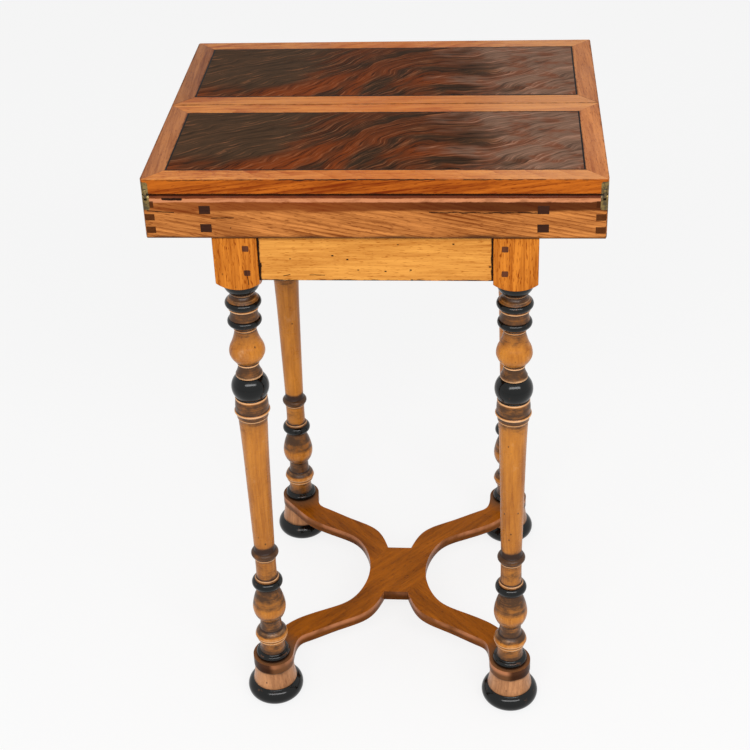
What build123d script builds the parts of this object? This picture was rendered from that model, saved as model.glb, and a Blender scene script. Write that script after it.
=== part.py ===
from build123d import *
from math import cos, radians, sin
import os

# Folding card table. Lengths are millimetres. The origin is on the floor under the middle of
# the box, +X is to the right, +Y is to the rear and +Z is up. Both leaves are shut.

# Overall sizes
table_height = 750.0
top_width = 490.0
top_depth = 393.0
rest_gap = 0.3
seam_gap = 0.5
corner_round = 4.0
overrun = 5.0

# Leaves
leaf_thickness = 17.4
frame_width = 23.0
leaf_top_round = 1.2
leaf_lower_round = 2.0
tongue_length = 6.0
tongue_thickness = 5.0
string_width = 1.8
string_depth = 1.5
baize_thickness = 1.0

# Box
box_height = 53.0
board_thickness = 12.0
box_top_round = 5.4
box_bottom_round = 4.0
finger_count = 7
bottom_thickness = 8.0
groove_depth = 5.0
groove_height = 4.0
divider_thickness = 12.0
compartment_width = 48.5
lining_thickness = 0.8
lining_margin = 0.5

# Link hinges
pin_inset = 3.5
pin_radius = 1.3
pin_running_fit = 0.05
pin_press_fit = 0.02
knuckle_width = 8.0
knuckle_length = 14.0
knuckle_corner_round = 2.5
leaf_plate_height = 14.4
box_plate_height = 18.0
strap_length = 46.0
strap_height = 10.0
strap_inset = 2.0
strap_thickness = 3.5
link_thickness = 3.0
link_radius = 2.7
link_side_gap = 0.15
link_round_gap = 0.3
screw_head_radius = 2.7
screw_head_depth = 1.6
screw_shank_radius = 1.3
screw_length = 10.0
screw_first = 23.0
screw_spacing = 14.0

# Legs and feet
leg_inset_x = 94.0
leg_inset_y = 29.5
block_width = 48.5
block_height = 67.3
pommel_height = 11.5
turning_radius = 21.9
foot_height = 48.0
foot_radius = 35.5
dowel_radius = 9.0
dowel_fit = 0.1
dowel_depth = 24.0
dowel_end_gap = 1.0

# Stretcher
stretcher_thickness = 14.0
end_pad_radius = 25.8
arm_end_angle = 48.0

# Aprons
apron_height = 55.0
apron_thickness = 20.0
apron_setback = 3.0
tenon_length = 26.0
tenon_thickness = 8.0
tenon_shoulder = 4.0
peg_width = 7.0
peg_length = 22.0
peg_from_shoulder = 12.5
peg_from_top = 14.5
peg_spacing = 30.0
cleat_width = 18.0
cleat_length = 120.0
cleat_screw_radius = 2.0
cleat_screw_head_radius = 4.0
cleat_screw_head_depth = 2.4
cleat_screw_bite = 6.0
cleat_screw_spacing = 80.0

# Story stick of a leg from the stretcher up to its block. Each row is a rise, the radius at
# the end of the rise and the swell at its middle, hollow where negative. The rises are parts
# of the whole turning, the radii and swells are shares of the turning radius.
turning_foot_share = 0.80
turning_shares = [
    (8.0, 0.78, 0.16), (1.0, 0.73, 0.0), (18.0, 0.72, -0.03),
    (1.5, 0.85, 0.0), (5.0, 0.89, 0.03), (1.0, 0.86, 0.0), (3.0, 0.92, 0.0), (5.5, 0.62, -0.02),
    (17.0, 0.60, -0.04), (38.0, 0.82, 0.22), (1.0, 0.79, 0.0), (9.5, 0.60, 0.03),
    (3.0, 0.58, 0.0), (1.0, 0.70, 0.0), (11.5, 0.70, 0.16), (3.2, 0.65, 0.0), (0.6, 0.56, 0.0),
    (27.5, 0.56, -0.01), (0.7, 0.62, 0.0), (2.5, 0.62, 0.0),
    (0.8, 0.64, 0.0), (10.5, 0.63, 0.12), (1.2, 0.56, 0.0),
    (129.0, 0.69, 0.0), (66.5, 0.785, -0.01),
    (4.5, 0.80, 0.05), (6.5, 0.89, -0.01), (4.5, 0.93, 0.04), (10.0, 0.81, 0.02),
    (3.0, 0.80, 0.0), (0.8, 0.76, 0.0), (29.0, 0.67, 0.28), (2.8, 0.66, 0.0),
    (11.0, 0.49, -0.03), (0.6, 0.52, 0.0), (2.0, 0.52, 0.0),
    (13.4, 0.93, 0.08), (13.5, 0.77, 0.035), (19.5, 0.53, -0.04),
    (0.6, 0.575, 0.0), (2.2, 0.575, 0.0),
    (4.5, 0.78, -0.02), (7.0, 0.79, 0.08), (8.0, 0.62, -0.05),
    (0.8, 0.72, 0.0), (3.2, 0.74, 0.0), (1.0, 0.82, 0.0), (8.0, 0.83, 0.10), (11.0, 0.52, -0.06),
    (0.6, 0.59, 0.0), (2.6, 0.59, 0.0), (11.5, 0.96, 0.07),
]

# Outline of a foot from the floor up, written the same way as shares of the foot's sizes
foot_base_share = 0.82
foot_shares = [(21.0, 0.82, 0.18), (1.0, 0.79, 0.0), (26.0, 0.70, -0.02)]

# Pommel under the block: its radii where the block's turning starts and where it leaves the
# corners, as shares of the block's width
pommel_base_share = 0.45
pommel_top_share = 0.73
pommel_swell_share = 0.03

# The two through tenons of a divider: their heights above the box's floor and their own
# height, as shares of the divider's height
through_tenon_shares = (0.122, 0.604)
through_tenon_height_share = 0.213

# Plan of one quarter of the stretcher, as shares of the half spread of the legs
waist_share = 0.252
side_edge_shares = [(0.288, 0.204), (0.404, 0.389), (0.596, 0.497), (0.808, 0.600)]
pad_corner_share = (0.106, 0.275)
shoulder_share = 0.084
outer_edge_shares = [(0.225, 0.500), (0.470, 0.645), (0.722, 0.782)]
pad_corner_direction = (0.30, 0.95)

# Worked out from the sizes above
half_width = top_width / 2
half_depth = top_depth / 2
leaf_depth = half_depth - seam_gap / 2
leaf_under = table_height - leaf_thickness
rim = leaf_under - rest_gap
box_base = rim - box_height
box_floor = box_base + bottom_thickness
inner_width = top_width - 2 * board_thickness
inner_depth = top_depth - 2 * board_thickness
divider_height = rim - box_floor
divider_outer = inner_width / 2 - compartment_width
divider_inner = divider_outer - divider_thickness
leg_x = half_width - leg_inset_x
leg_y = half_depth - leg_inset_y
turning_top = box_base - block_height
stretcher_under = foot_height
stretcher_top = stretcher_under + stretcher_thickness
turned_length = turning_top - stretcher_top
panel_under = leaf_under + baize_thickness
string_under = table_height - string_depth
tongue_under = (panel_under + string_under - tongue_thickness) / 2
pin_y = pin_inset - half_depth
box_pin_z = rim - pin_inset
leaf_pin_z = leaf_under + pin_inset
box_middle = (rim + box_base) / 2
finger_height = box_height / finger_count
groove_under = box_base + (bottom_thickness - groove_height) / 2
apron_under = box_base - apron_height
apron_outer = apron_setback - block_width / 2
apron_inner = apron_outer + apron_thickness


def slab(x, y, z, mode=Mode.ADD):
    """A straight block between two limits on each axis."""
    limits = (x, y, z)
    with Locations(tuple((low + high) / 2 for low, high in limits)):
        Box(*(high - low for low, high in limits), mode=mode)


def keep(piece, name):
    """Label a finished piece and write it out."""
    piece.label = name
    export_step(piece, f"parts/{name}.step")


def across(piece):
    """The same piece on the other side of the table."""
    return mirror(piece, about=Plane.YZ)


def behind(piece):
    """The same piece at the other end of the table."""
    return mirror(piece, about=Plane.XZ)


def group(*pieces):
    """Several loose solids as one node."""
    with BuildPart() as together:
        for piece in pieces:
            add(piece)
    return together.part


def countersunk(head, head_radius, head_depth, shank_radius, length):
    """A screw whose head lies in the plane given, with that plane's normal pointing out of it."""
    with BuildPart() as screw:
        with BuildSketch(Plane(head.origin, x_dir=head.x_dir, z_dir=head.y_dir * -1)):
            with BuildLine():
                Polyline(
                    (0, 0),
                    (head_radius, 0),
                    (shank_radius, -head_depth),
                    (shank_radius, -length),
                    (0, -length),
                    close=True,
                )
            make_face()
        revolve(axis=Axis(head.origin, head.z_dir))
    return screw.part


def turned_edges(rows, base, base_radius, height, radius):
    """Edges of a turned outline from its base up, and the point where they end."""
    parts = sum(row[0] for row in rows)
    here = (base_radius, base)
    for rise_share, radius_share, swell_share in rows:
        there = (radius * radius_share, here[1] + height * rise_share / parts)
        if swell_share:
            middle_radius = (here[0] + there[0]) / 2 + radius * swell_share
            ThreePointArc(here, (middle_radius, (here[1] + there[1]) / 2), there)
        else:
            Line(here, there)
        here = there
    return here


def turned(rows, base, base_radius, height, radius):
    """A solid turned about Z from the rows of a story stick."""
    with BuildPart() as turning:
        with BuildSketch(Plane.XZ):
            with BuildLine():
                Line((0, base), (base_radius, base))
                end = turned_edges(rows, base, base_radius, height, radius)
                Line(end, (0, end[1]))
                Line((0, end[1]), (0, base))
            make_face()
        revolve(axis=Axis.Z)
    return turning.part


with BuildPart() as rounded_block:
    with BuildSketch(Plane.XY.offset(box_base - overrun)) as outline:
        Rectangle(top_width, top_depth)
        fillet(outline.vertices(), corner_round)
    extrude(amount=table_height - box_base + 2 * overrun)


def trimmed(piece):
    """The part of a piece that lies within the rounded outline of the box and leaves."""
    with BuildPart() as cut:
        add(piece)
        add(rounded_block.part, mode=Mode.INTERSECT)
    return cut.part


# Aprons and pegs. They are made along X with the axes of their two legs on the line Y = 0.


def peg_forms(spread):
    """Square pegs through the blocks at both ends of an apron."""
    with BuildPart() as pegs:
        with BuildSketch(Plane.XZ.offset(block_width / 2)):
            with Locations((0, box_base - peg_from_top - peg_spacing / 2)):
                with GridLocations(spread - block_width + 2 * peg_from_shoulder, peg_spacing, 2, 2):
                    Rectangle(peg_width, peg_width)
        extrude(amount=-peg_length)
    return pegs.part


def apron_board(spread):
    """Apron with a long tenon at both ends."""
    shoulder = (spread - block_width) / 2
    tenon_end = shoulder + tenon_length
    tenon_outer = apron_outer + (apron_thickness - tenon_thickness) / 2
    with BuildPart() as apron:
        slab((-shoulder, shoulder), (apron_outer, apron_inner), (apron_under, box_base))
        slab(
            (-tenon_end, tenon_end),
            (tenon_outer, tenon_outer + tenon_thickness),
            (apron_under + tenon_shoulder, box_base - tenon_shoulder),
        )
    return apron.part


def cleat_screws():
    """The two screws that go up through a cleat into the box."""
    along = cleat_screw_spacing / 2
    height = cleat_width + cleat_screw_bite
    screws = []
    for x in (-along, along):
        head = Plane((x, apron_inner + cleat_width / 2, box_base - cleat_width), z_dir=(0, 0, -1))
        screws.append(
            countersunk(head, cleat_screw_head_radius, cleat_screw_head_depth, cleat_screw_radius, height)
        )
    return group(*screws)


def cleat():
    """Block glued inside an apron, drilled for its screws."""
    with BuildPart() as block:
        slab(
            (-cleat_length / 2, cleat_length / 2),
            (apron_inner, apron_inner + cleat_width),
            (box_base - cleat_width, box_base),
        )
        add(cleat_screws(), mode=Mode.SUBTRACT)
    return block.part


front_place = Location((0, -leg_y, 0))
rear_place = Location((0, leg_y, 0), (0, 0, 180))
left_place = Location((-leg_x, 0, 0), (0, 0, -90))
right_place = Location((leg_x, 0, 0), (0, 0, 90))
apron_places = {
    "front": (front_place, 2 * leg_x),
    "rear": (rear_place, 2 * leg_x),
    "left": (left_place, 2 * leg_y),
    "right": (right_place, 2 * leg_y),
}

all_pegs = group(*(peg_forms(spread).moved(place) for place, spread in apron_places.values()))
all_cleats = group(*(cleat().moved(place) for place, _ in apron_places.values()))
all_cleat_screws = group(*(cleat_screws().moved(place) for place, _ in apron_places.values()))
for side, (place, spread) in apron_places.items():
    with BuildPart() as apron:
        add(apron_board(spread).moved(place))
        add(all_pegs, mode=Mode.SUBTRACT)
    keep(apron.part, f"apron_{side}")
keep(all_pegs, "apron_pegs")
keep(all_cleats, "frame_cleats")
keep(all_cleat_screws, "frame_cleat_screws")


# Legs and feet. Each is turned on Z and then moved out to its corner.


with BuildPart() as turned_leg:
    with BuildSketch(Plane.XY.offset(turning_top)):
        Rectangle(block_width, block_width)
    extrude(amount=block_height)
    with BuildSketch(Plane.XZ):
        with BuildLine():
            pommel_low = (block_width * pommel_base_share, turning_top)
            pommel_high = (block_width * pommel_top_share, turning_top + pommel_height)
            swell = block_width * pommel_swell_share
            pommel_middle = (
                (pommel_low[0] + pommel_high[0]) / 2 + swell,
                (pommel_low[1] + pommel_high[1]) / 2,
            )
            ThreePointArc(pommel_low, pommel_middle, pommel_high)
            Polyline(
                pommel_high,
                (pommel_high[0], box_base + overrun),
                (0, box_base + overrun),
                (0, turning_top),
                pommel_low,
            )
        make_face()
    revolve(axis=Axis.Z, mode=Mode.INTERSECT)
    foot_of_turning = turning_radius * turning_foot_share
    add(turned(turning_shares, stretcher_top, foot_of_turning, turned_length, turning_radius))
    with BuildSketch(Plane.XY.offset(stretcher_top)):
        Circle(dowel_radius)
    extrude(amount=-stretcher_thickness - dowel_depth)

with BuildPart() as turned_foot:
    add(turned(foot_shares, 0, foot_radius * foot_base_share, foot_height, foot_radius))
    with BuildSketch(Plane.XY.offset(foot_height)):
        Circle(dowel_radius + dowel_fit)
    extrude(amount=-dowel_depth - dowel_end_gap, mode=Mode.SUBTRACT)

corner_place = Location((-leg_x, -leg_y, 0))
with BuildPart() as leg_front_left:
    add(turned_leg.part.moved(corner_place))
    for side in ("front", "left"):
        place, spread = apron_places[side]
        add(apron_board(spread).moved(place), mode=Mode.SUBTRACT)
    add(all_pegs, mode=Mode.SUBTRACT)
foot_front_left = turned_foot.part.moved(corner_place)
for name, first in (("leg", leg_front_left.part), ("foot", foot_front_left)):
    keep(first, f"{name}_front_left")
    keep(across(first), f"{name}_front_right")
    keep(behind(first), f"{name}_rear_left")
    keep(behind(across(first)), f"{name}_rear_right")


# Stretcher. One quarter of its plan runs from the middle of the table to the rear right leg.


def from_shares(points):
    """Places in the plan from shares of the half spread of the legs."""
    return [(leg_x * x_share, leg_y * y_share) for x_share, y_share in points]


turn = radians(arm_end_angle)
pad_corner, waist, shoulder = from_shares(
    [pad_corner_share, (waist_share, 0), (waist_share, shoulder_share)]
)
pad_tip = pad_corner[0] + pad_corner[1] * (waist[0] - pad_corner[0]) / (pad_corner[1] - shoulder[1])
arm_end = (leg_x + end_pad_radius * sin(turn), leg_y - end_pad_radius * cos(turn))
inner_end = (leg_x - end_pad_radius, leg_y)

with BuildSketch() as quarter:
    with BuildLine():
        Spline(
            waist,
            *from_shares(side_edge_shares),
            arm_end,
            tangents=[(0, 1), (cos(turn), sin(turn))],
        )
        CenterArc((leg_x, leg_y), end_pad_radius, arm_end_angle - 90, 270 - arm_end_angle)
        Spline(
            pad_corner,
            *from_shares(outer_edge_shares),
            inner_end,
            tangents=[pad_corner_direction, (0, 1)],
        )
        Polyline(pad_corner, (0, pad_corner[1]), (0, 0), waist)
    make_face()

with BuildSketch() as centre_pad:
    add(quarter.sketch)
    mirror(about=Plane.YZ)
    mirror(about=Plane.XZ)
    Polygon(
        (pad_tip, 0),
        pad_corner,
        (-pad_corner[0], pad_corner[1]),
        (-pad_tip, 0),
        (-pad_corner[0], -pad_corner[1]),
        (pad_corner[0], -pad_corner[1]),
        align=None,
        mode=Mode.INTERSECT,
    )


def stretcher_arm(lap_base):
    """Two opposite arms and the centre pad, with half the pad's thickness cut away from lap_base."""
    with BuildPart() as arm:
        with BuildSketch(Plane.XY.offset(stretcher_under)):
            add(quarter.sketch)
            add(quarter.sketch, rotation=180)
            add(centre_pad.sketch)
        extrude(amount=stretcher_thickness)
        with BuildSketch(Plane.XY.offset(lap_base)):
            add(centre_pad.sketch)
        extrude(amount=stretcher_thickness / 2, mode=Mode.SUBTRACT)
        with Locations((leg_x, leg_y, stretcher_top), (-leg_x, -leg_y, stretcher_top)):
            Hole(dowel_radius + dowel_fit)
    return arm.part


keep(stretcher_arm(stretcher_under), "stretcher_main")
keep(across(stretcher_arm(stretcher_under + stretcher_thickness / 2)), "stretcher_cross")


# Link hinges. All are made at the front left corner, where the plates are let into the left end.


def plate_form(edge, height, up, meeting_round):
    """Outer form of a plate from the meeting face at edge: a knuckle block and a round-ended strap."""
    far = edge + up * height
    strap_middle = edge + up * (strap_inset + strap_height / 2)
    pick = 0 if up > 0 else -1
    knuckle_back = knuckle_length - half_depth
    strap_round = strap_length - half_depth - strap_height / 2
    with BuildPart() as plate:
        with BuildSketch(Plane.YZ.offset(-half_width)) as side:
            with Locations((knuckle_back - knuckle_length / 2, (edge + far) / 2)):
                Rectangle(knuckle_length, height)
            fillet(side.vertices().group_by(Axis.X)[0].sort_by(Axis.Y)[pick], meeting_round)
        extrude(amount=knuckle_width)
        inner_edges = plate.edges().filter_by(Axis.Y).group_by(Axis.X)[-1]
        fillet(inner_edges.sort_by(Axis.Z)[-1 - pick], knuckle_corner_round)
        with BuildSketch(Plane.YZ.offset(-half_width)):
            with Locations(((knuckle_back + strap_round) / 2, strap_middle)):
                Rectangle(strap_round - knuckle_back, strap_height)
            with Locations((strap_round, strap_middle)):
                Circle(strap_height / 2)
        extrude(amount=strap_thickness)
    return trimmed(plate.part)


def plate_screws(edge, up):
    """The two screws through a plate's strap."""
    z = edge + up * (strap_inset + strap_height / 2)
    screws = []
    for reach in (screw_first, screw_first + screw_spacing):
        head = Plane((-half_width, reach - half_depth, z), z_dir=(-1, 0, 0))
        screws.append(countersunk(head, screw_head_radius, screw_head_depth, screw_shank_radius, screw_length))
    return group(*screws)


def hinge_pin(z, spare):
    """A pin along X through a plate's knuckle, with spare added to its radius for the hole."""
    with BuildPart() as pin:
        with BuildSketch(Plane.YZ.offset(-half_width)):
            with Locations((pin_y, z)):
                Circle(pin_radius + spare)
        extrude(amount=knuckle_width)
    return pin.part


def hinge_plate(edge, height, up, meeting_round):
    """A plate with the slot that its link swings in, its pin hole and its screw holes."""
    slot_width = link_thickness + 2 * link_side_gap
    reach = link_radius + link_round_gap
    pin_z = edge + up * pin_inset
    slot_y = (-half_depth - overrun, pin_y + reach)
    slot_z = sorted((edge - up * overrun, pin_z + up * reach))
    pick = -1 if up > 0 else 0
    with BuildPart() as plate:
        add(plate_form(edge, height, up, meeting_round))
        with BuildSketch(Plane.YZ.offset((knuckle_width - slot_width) / 2 - half_width)) as slot:
            with Locations((sum(slot_y) / 2, sum(slot_z) / 2)):
                Rectangle(slot_y[1] - slot_y[0], slot_z[1] - slot_z[0])
            fillet(slot.vertices().group_by(Axis.X)[-1].sort_by(Axis.Y)[pick], reach)
        extrude(amount=slot_width, mode=Mode.SUBTRACT)
        add(hinge_pin(pin_z, pin_press_fit), mode=Mode.SUBTRACT)
        add(plate_screws(edge, up), mode=Mode.SUBTRACT)
    return plate.part


def hinge_link():
    """The link that joins the box's pin to the leaf's pin."""
    with BuildPart() as link:
        with BuildSketch(Plane.YZ.offset((knuckle_width - link_thickness) / 2 - half_width)):
            with Locations((pin_y, (box_pin_z + leaf_pin_z) / 2)):
                SlotCenterToCenter(leaf_pin_z - box_pin_z, 2 * link_radius, rotation=90)
            with Locations((pin_y, box_pin_z), (pin_y, leaf_pin_z)):
                Circle(pin_radius + pin_running_fit, mode=Mode.SUBTRACT)
        extrude(amount=link_thickness)
    return link.part


def both_sides(piece):
    """A left piece and its right twin, as one group."""
    return group(piece, across(piece))


def as_made(piece):
    """The piece where it was made."""
    return piece


def all_corners(piece):
    """A front left piece and its three twins, as one group."""
    front = both_sides(piece)
    return group(front, behind(front))


box_plate_sizes = (rim, box_plate_height, -1, box_top_round)
leaf_plate_sizes = (leaf_under, leaf_plate_height, 1, leaf_lower_round)
box_plate = hinge_plate(*box_plate_sizes)
leaf_plate = hinge_plate(*leaf_plate_sizes)
leaf_screws = both_sides(plate_screws(leaf_under, 1))
leaf_pins = both_sides(trimmed(hinge_pin(leaf_pin_z, 0)))
for end, turned_to in (("front", as_made), ("rear", behind)):
    for side, moved_to in (("left", as_made), ("right", across)):
        keep(turned_to(moved_to(box_plate)), f"box_hinge_plate_{end}_{side}")
        keep(turned_to(moved_to(leaf_plate)), f"{end}_leaf_hinge_plate_{side}")
        keep(turned_to(moved_to(hinge_link())), f"{end}_link_{side}")
    keep(turned_to(leaf_screws), f"{end}_leaf_hinge_screws")
    keep(turned_to(leaf_pins), f"{end}_leaf_hinge_pins")
box_screws = all_corners(plate_screws(rim, -1))
keep(box_screws, "box_hinge_screws")
keep(all_corners(trimmed(hinge_pin(box_pin_z, 0))), "box_hinge_pins")


# Box. Its four boards are cut from one shell so that their rounded edges run through.


with BuildPart() as divider_left:
    divider_x = (-divider_outer, -divider_inner)
    slab(divider_x, (-inner_depth / 2, inner_depth / 2), (box_floor, rim))
    half_tenon = divider_height * through_tenon_height_share / 2
    for height_share in through_tenon_shares:
        tenon_z = box_floor + divider_height * height_share
        slab(divider_x, (-half_depth, half_depth), (tenon_z - half_tenon, tenon_z + half_tenon))

with BuildPart() as bottom:
    slab(
        (-inner_width / 2, inner_width / 2),
        (-inner_depth / 2, inner_depth / 2),
        (box_base, box_floor),
    )
    slab(
        (-inner_width / 2 - groove_depth, inner_width / 2 + groove_depth),
        (-inner_depth / 2 - groove_depth, inner_depth / 2 + groove_depth),
        (groove_under, groove_under + groove_height),
    )
    add(all_cleat_screws, mode=Mode.SUBTRACT)

with BuildPart() as shell:
    with BuildSketch(Plane.YZ.offset(-half_width)) as end_view:
        with Locations((0, box_middle)):
            Rectangle(top_depth, box_height)
        fillet(end_view.vertices().group_by(Axis.Y)[0], box_bottom_round)
        fillet(end_view.vertices().group_by(Axis.Y)[-1], box_top_round)
    extrude(amount=top_width)
    with BuildSketch(Plane.XZ.offset(half_depth)) as front_view:
        with Locations((0, box_middle)):
            Rectangle(top_width, box_height)
        fillet(front_view.vertices().group_by(Axis.Y)[0], box_bottom_round)
    extrude(amount=-top_depth, mode=Mode.INTERSECT)
    add(rounded_block.part, mode=Mode.INTERSECT)
    slab(
        (-inner_width / 2, inner_width / 2),
        (-inner_depth / 2, inner_depth / 2),
        (box_base - overrun, rim + overrun),
        mode=Mode.SUBTRACT,
    )
    add(bottom.part, mode=Mode.SUBTRACT)
    add(both_sides(divider_left.part), mode=Mode.SUBTRACT)
    add(all_corners(plate_form(*box_plate_sizes)), mode=Mode.SUBTRACT)
    add(box_screws, mode=Mode.SUBTRACT)


def fingers(length, count):
    """The fingers of one board, seen square on, from its end to end."""
    with Locations((0, box_middle)):
        with GridLocations(length, 2 * finger_height, 1, count):
            Rectangle(length + 2 * overrun, finger_height)


with BuildPart() as box_front:
    add(shell.part)
    with BuildSketch(Plane.XZ.offset(half_depth + overrun)):
        with Locations((0, box_middle)):
            Rectangle(inner_width, box_height)
        fingers(top_width, (finger_count + 1) // 2)
    extrude(amount=-overrun - board_thickness, mode=Mode.INTERSECT)

with BuildPart() as box_end_left:
    add(shell.part)
    with BuildSketch(Plane.YZ.offset(-half_width - overrun)):
        with Locations((0, box_middle)):
            Rectangle(inner_depth, box_height)
        fingers(top_depth, finger_count // 2)
    extrude(amount=overrun + board_thickness, mode=Mode.INTERSECT)

with BuildPart() as linings:
    lining_y = (lining_margin - inner_depth / 2, inner_depth / 2 - lining_margin)
    lining_z = (box_floor, box_floor + lining_thickness)
    slab((lining_margin - divider_inner, divider_inner - lining_margin), lining_y, lining_z)
    for side in (-1, 1):
        limits = (side * (divider_outer + lining_margin), side * (inner_width / 2 - lining_margin))
        slab(sorted(limits), lining_y, lining_z)

keep(box_front.part, "box_front")
keep(behind(box_front.part), "box_rear")
keep(box_end_left.part, "box_end_left")
keep(across(box_end_left.part), "box_end_right")
keep(bottom.part, "box_bottom")
keep(divider_left.part, "divider_left")
keep(across(divider_left.part), "divider_right")
keep(linings.part, "compartment_linings")


# Leaves. The front leaf is made and the rear one is its twin.


opening_x = half_width - frame_width
opening_front = frame_width - half_depth
opening_rear = -seam_gap / 2 - frame_width
leaf_middle = (-half_depth - seam_gap / 2) / 2


def in_opening(margin, low, high, mode=Mode.ADD):
    """A slab over the panel's opening, spread by margin, between two heights."""
    slab(
        (-opening_x - margin, opening_x + margin),
        (opening_front - margin, opening_rear + margin),
        (low, high),
        mode=mode,
    )


with BuildPart() as leaf_frame:
    with BuildSketch(Plane.YZ.offset(-half_width)) as leaf_end:
        with Locations((leaf_middle, leaf_under + leaf_thickness / 2)):
            Rectangle(leaf_depth, leaf_thickness)
        fillet(leaf_end.vertices().group_by(Axis.X)[0].sort_by(Axis.Y)[-1], leaf_top_round)
        fillet(leaf_end.vertices().group_by(Axis.X)[0].sort_by(Axis.Y)[0], leaf_lower_round)
    extrude(amount=top_width)
    add(rounded_block.part, mode=Mode.INTERSECT)
    in_opening(0, leaf_under - overrun, table_height + overrun, mode=Mode.SUBTRACT)
    in_opening(tongue_length, tongue_under, tongue_under + tongue_thickness, mode=Mode.SUBTRACT)
    add(both_sides(plate_form(*leaf_plate_sizes)), mode=Mode.SUBTRACT)
    add(leaf_screws, mode=Mode.SUBTRACT)


def mitred(first, second):
    """One member of the leaf's frame, between the mitres at two of its corners."""
    corners = [(-1, -1), (1, -1), (1, 1), (-1, 1)]
    half_leaf = leaf_depth / 2
    outside = [(sx * (half_width + overrun), leaf_middle + sy * (half_leaf + overrun)) for sx, sy in corners]
    inset = frame_width + overrun
    inside = [(sx * (half_width - inset), leaf_middle + sy * (half_leaf - inset)) for sx, sy in corners]
    with BuildPart() as member:
        add(leaf_frame.part)
        with BuildSketch(Plane.XY.offset(leaf_under - overrun)):
            Polygon(outside[first], outside[second], inside[second], inside[first], align=None)
        extrude(amount=leaf_thickness + 2 * overrun, mode=Mode.INTERSECT)
    return member.part


with BuildPart() as panel:
    in_opening(0, panel_under, string_under)
    in_opening(tongue_length, tongue_under, tongue_under + tongue_thickness)
    in_opening(-string_width, string_under, table_height)

with BuildPart() as stringing:
    in_opening(0, string_under, table_height)
    in_opening(-string_width, string_under, table_height, mode=Mode.SUBTRACT)

with BuildPart() as baize:
    in_opening(0, leaf_under, panel_under)

leaf_pieces = {
    "outer_rail": mitred(0, 1),
    "inner_rail": mitred(2, 3),
    "left_stile": mitred(3, 0),
    "right_stile": mitred(1, 2),
    "panel": panel.part,
    "stringing": stringing.part,
    "baize": baize.part,
}
for name, piece in leaf_pieces.items():
    keep(piece, f"front_leaf_{name}")
    keep(behind(piece), f"rear_leaf_{name}")
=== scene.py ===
"""Folding card table with turned legs: pieces, finishes and stage, laid out as an add-on.

Lengths in the tables below are millimetres and are turned into metres where a mesh is made. The
frame gives the place and size of every solid, and each piece made here is fitted to it."""

import math

import bpy
import numpy as np
from bpy.props import FloatProperty, FloatVectorProperty, IntProperty, PointerProperty
from mathutils import Euler, Matrix, Vector


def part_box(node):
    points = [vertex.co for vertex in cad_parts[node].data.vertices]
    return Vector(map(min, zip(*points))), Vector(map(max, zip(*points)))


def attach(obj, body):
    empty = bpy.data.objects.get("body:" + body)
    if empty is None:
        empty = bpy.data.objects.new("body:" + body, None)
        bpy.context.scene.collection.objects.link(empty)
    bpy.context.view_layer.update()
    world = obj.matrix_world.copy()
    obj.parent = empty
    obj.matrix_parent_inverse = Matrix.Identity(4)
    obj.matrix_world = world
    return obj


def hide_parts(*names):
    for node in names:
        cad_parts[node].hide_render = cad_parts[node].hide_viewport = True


bl_info = {
    "name": "Folding Card Table",
    "version": (1, 0, 0),
    "blender": (4, 5, 0),
    "location": "View3D > Sidebar > Card Table",
    "description": "Dresses a folding card table with turned legs, its finishes and a plain stage",
    "category": "Object",
}

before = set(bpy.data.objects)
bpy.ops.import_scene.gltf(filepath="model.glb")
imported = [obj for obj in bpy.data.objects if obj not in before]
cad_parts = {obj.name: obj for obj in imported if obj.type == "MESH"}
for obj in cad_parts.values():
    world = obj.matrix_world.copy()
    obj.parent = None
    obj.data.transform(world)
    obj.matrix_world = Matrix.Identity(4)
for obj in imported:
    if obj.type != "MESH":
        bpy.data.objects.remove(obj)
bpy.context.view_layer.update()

MM = 0.001
WELD_REACH = 1e-6
CORNERS = ("front_left", "front_right", "rear_left", "rear_right")
BASE = "table_base"

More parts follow.
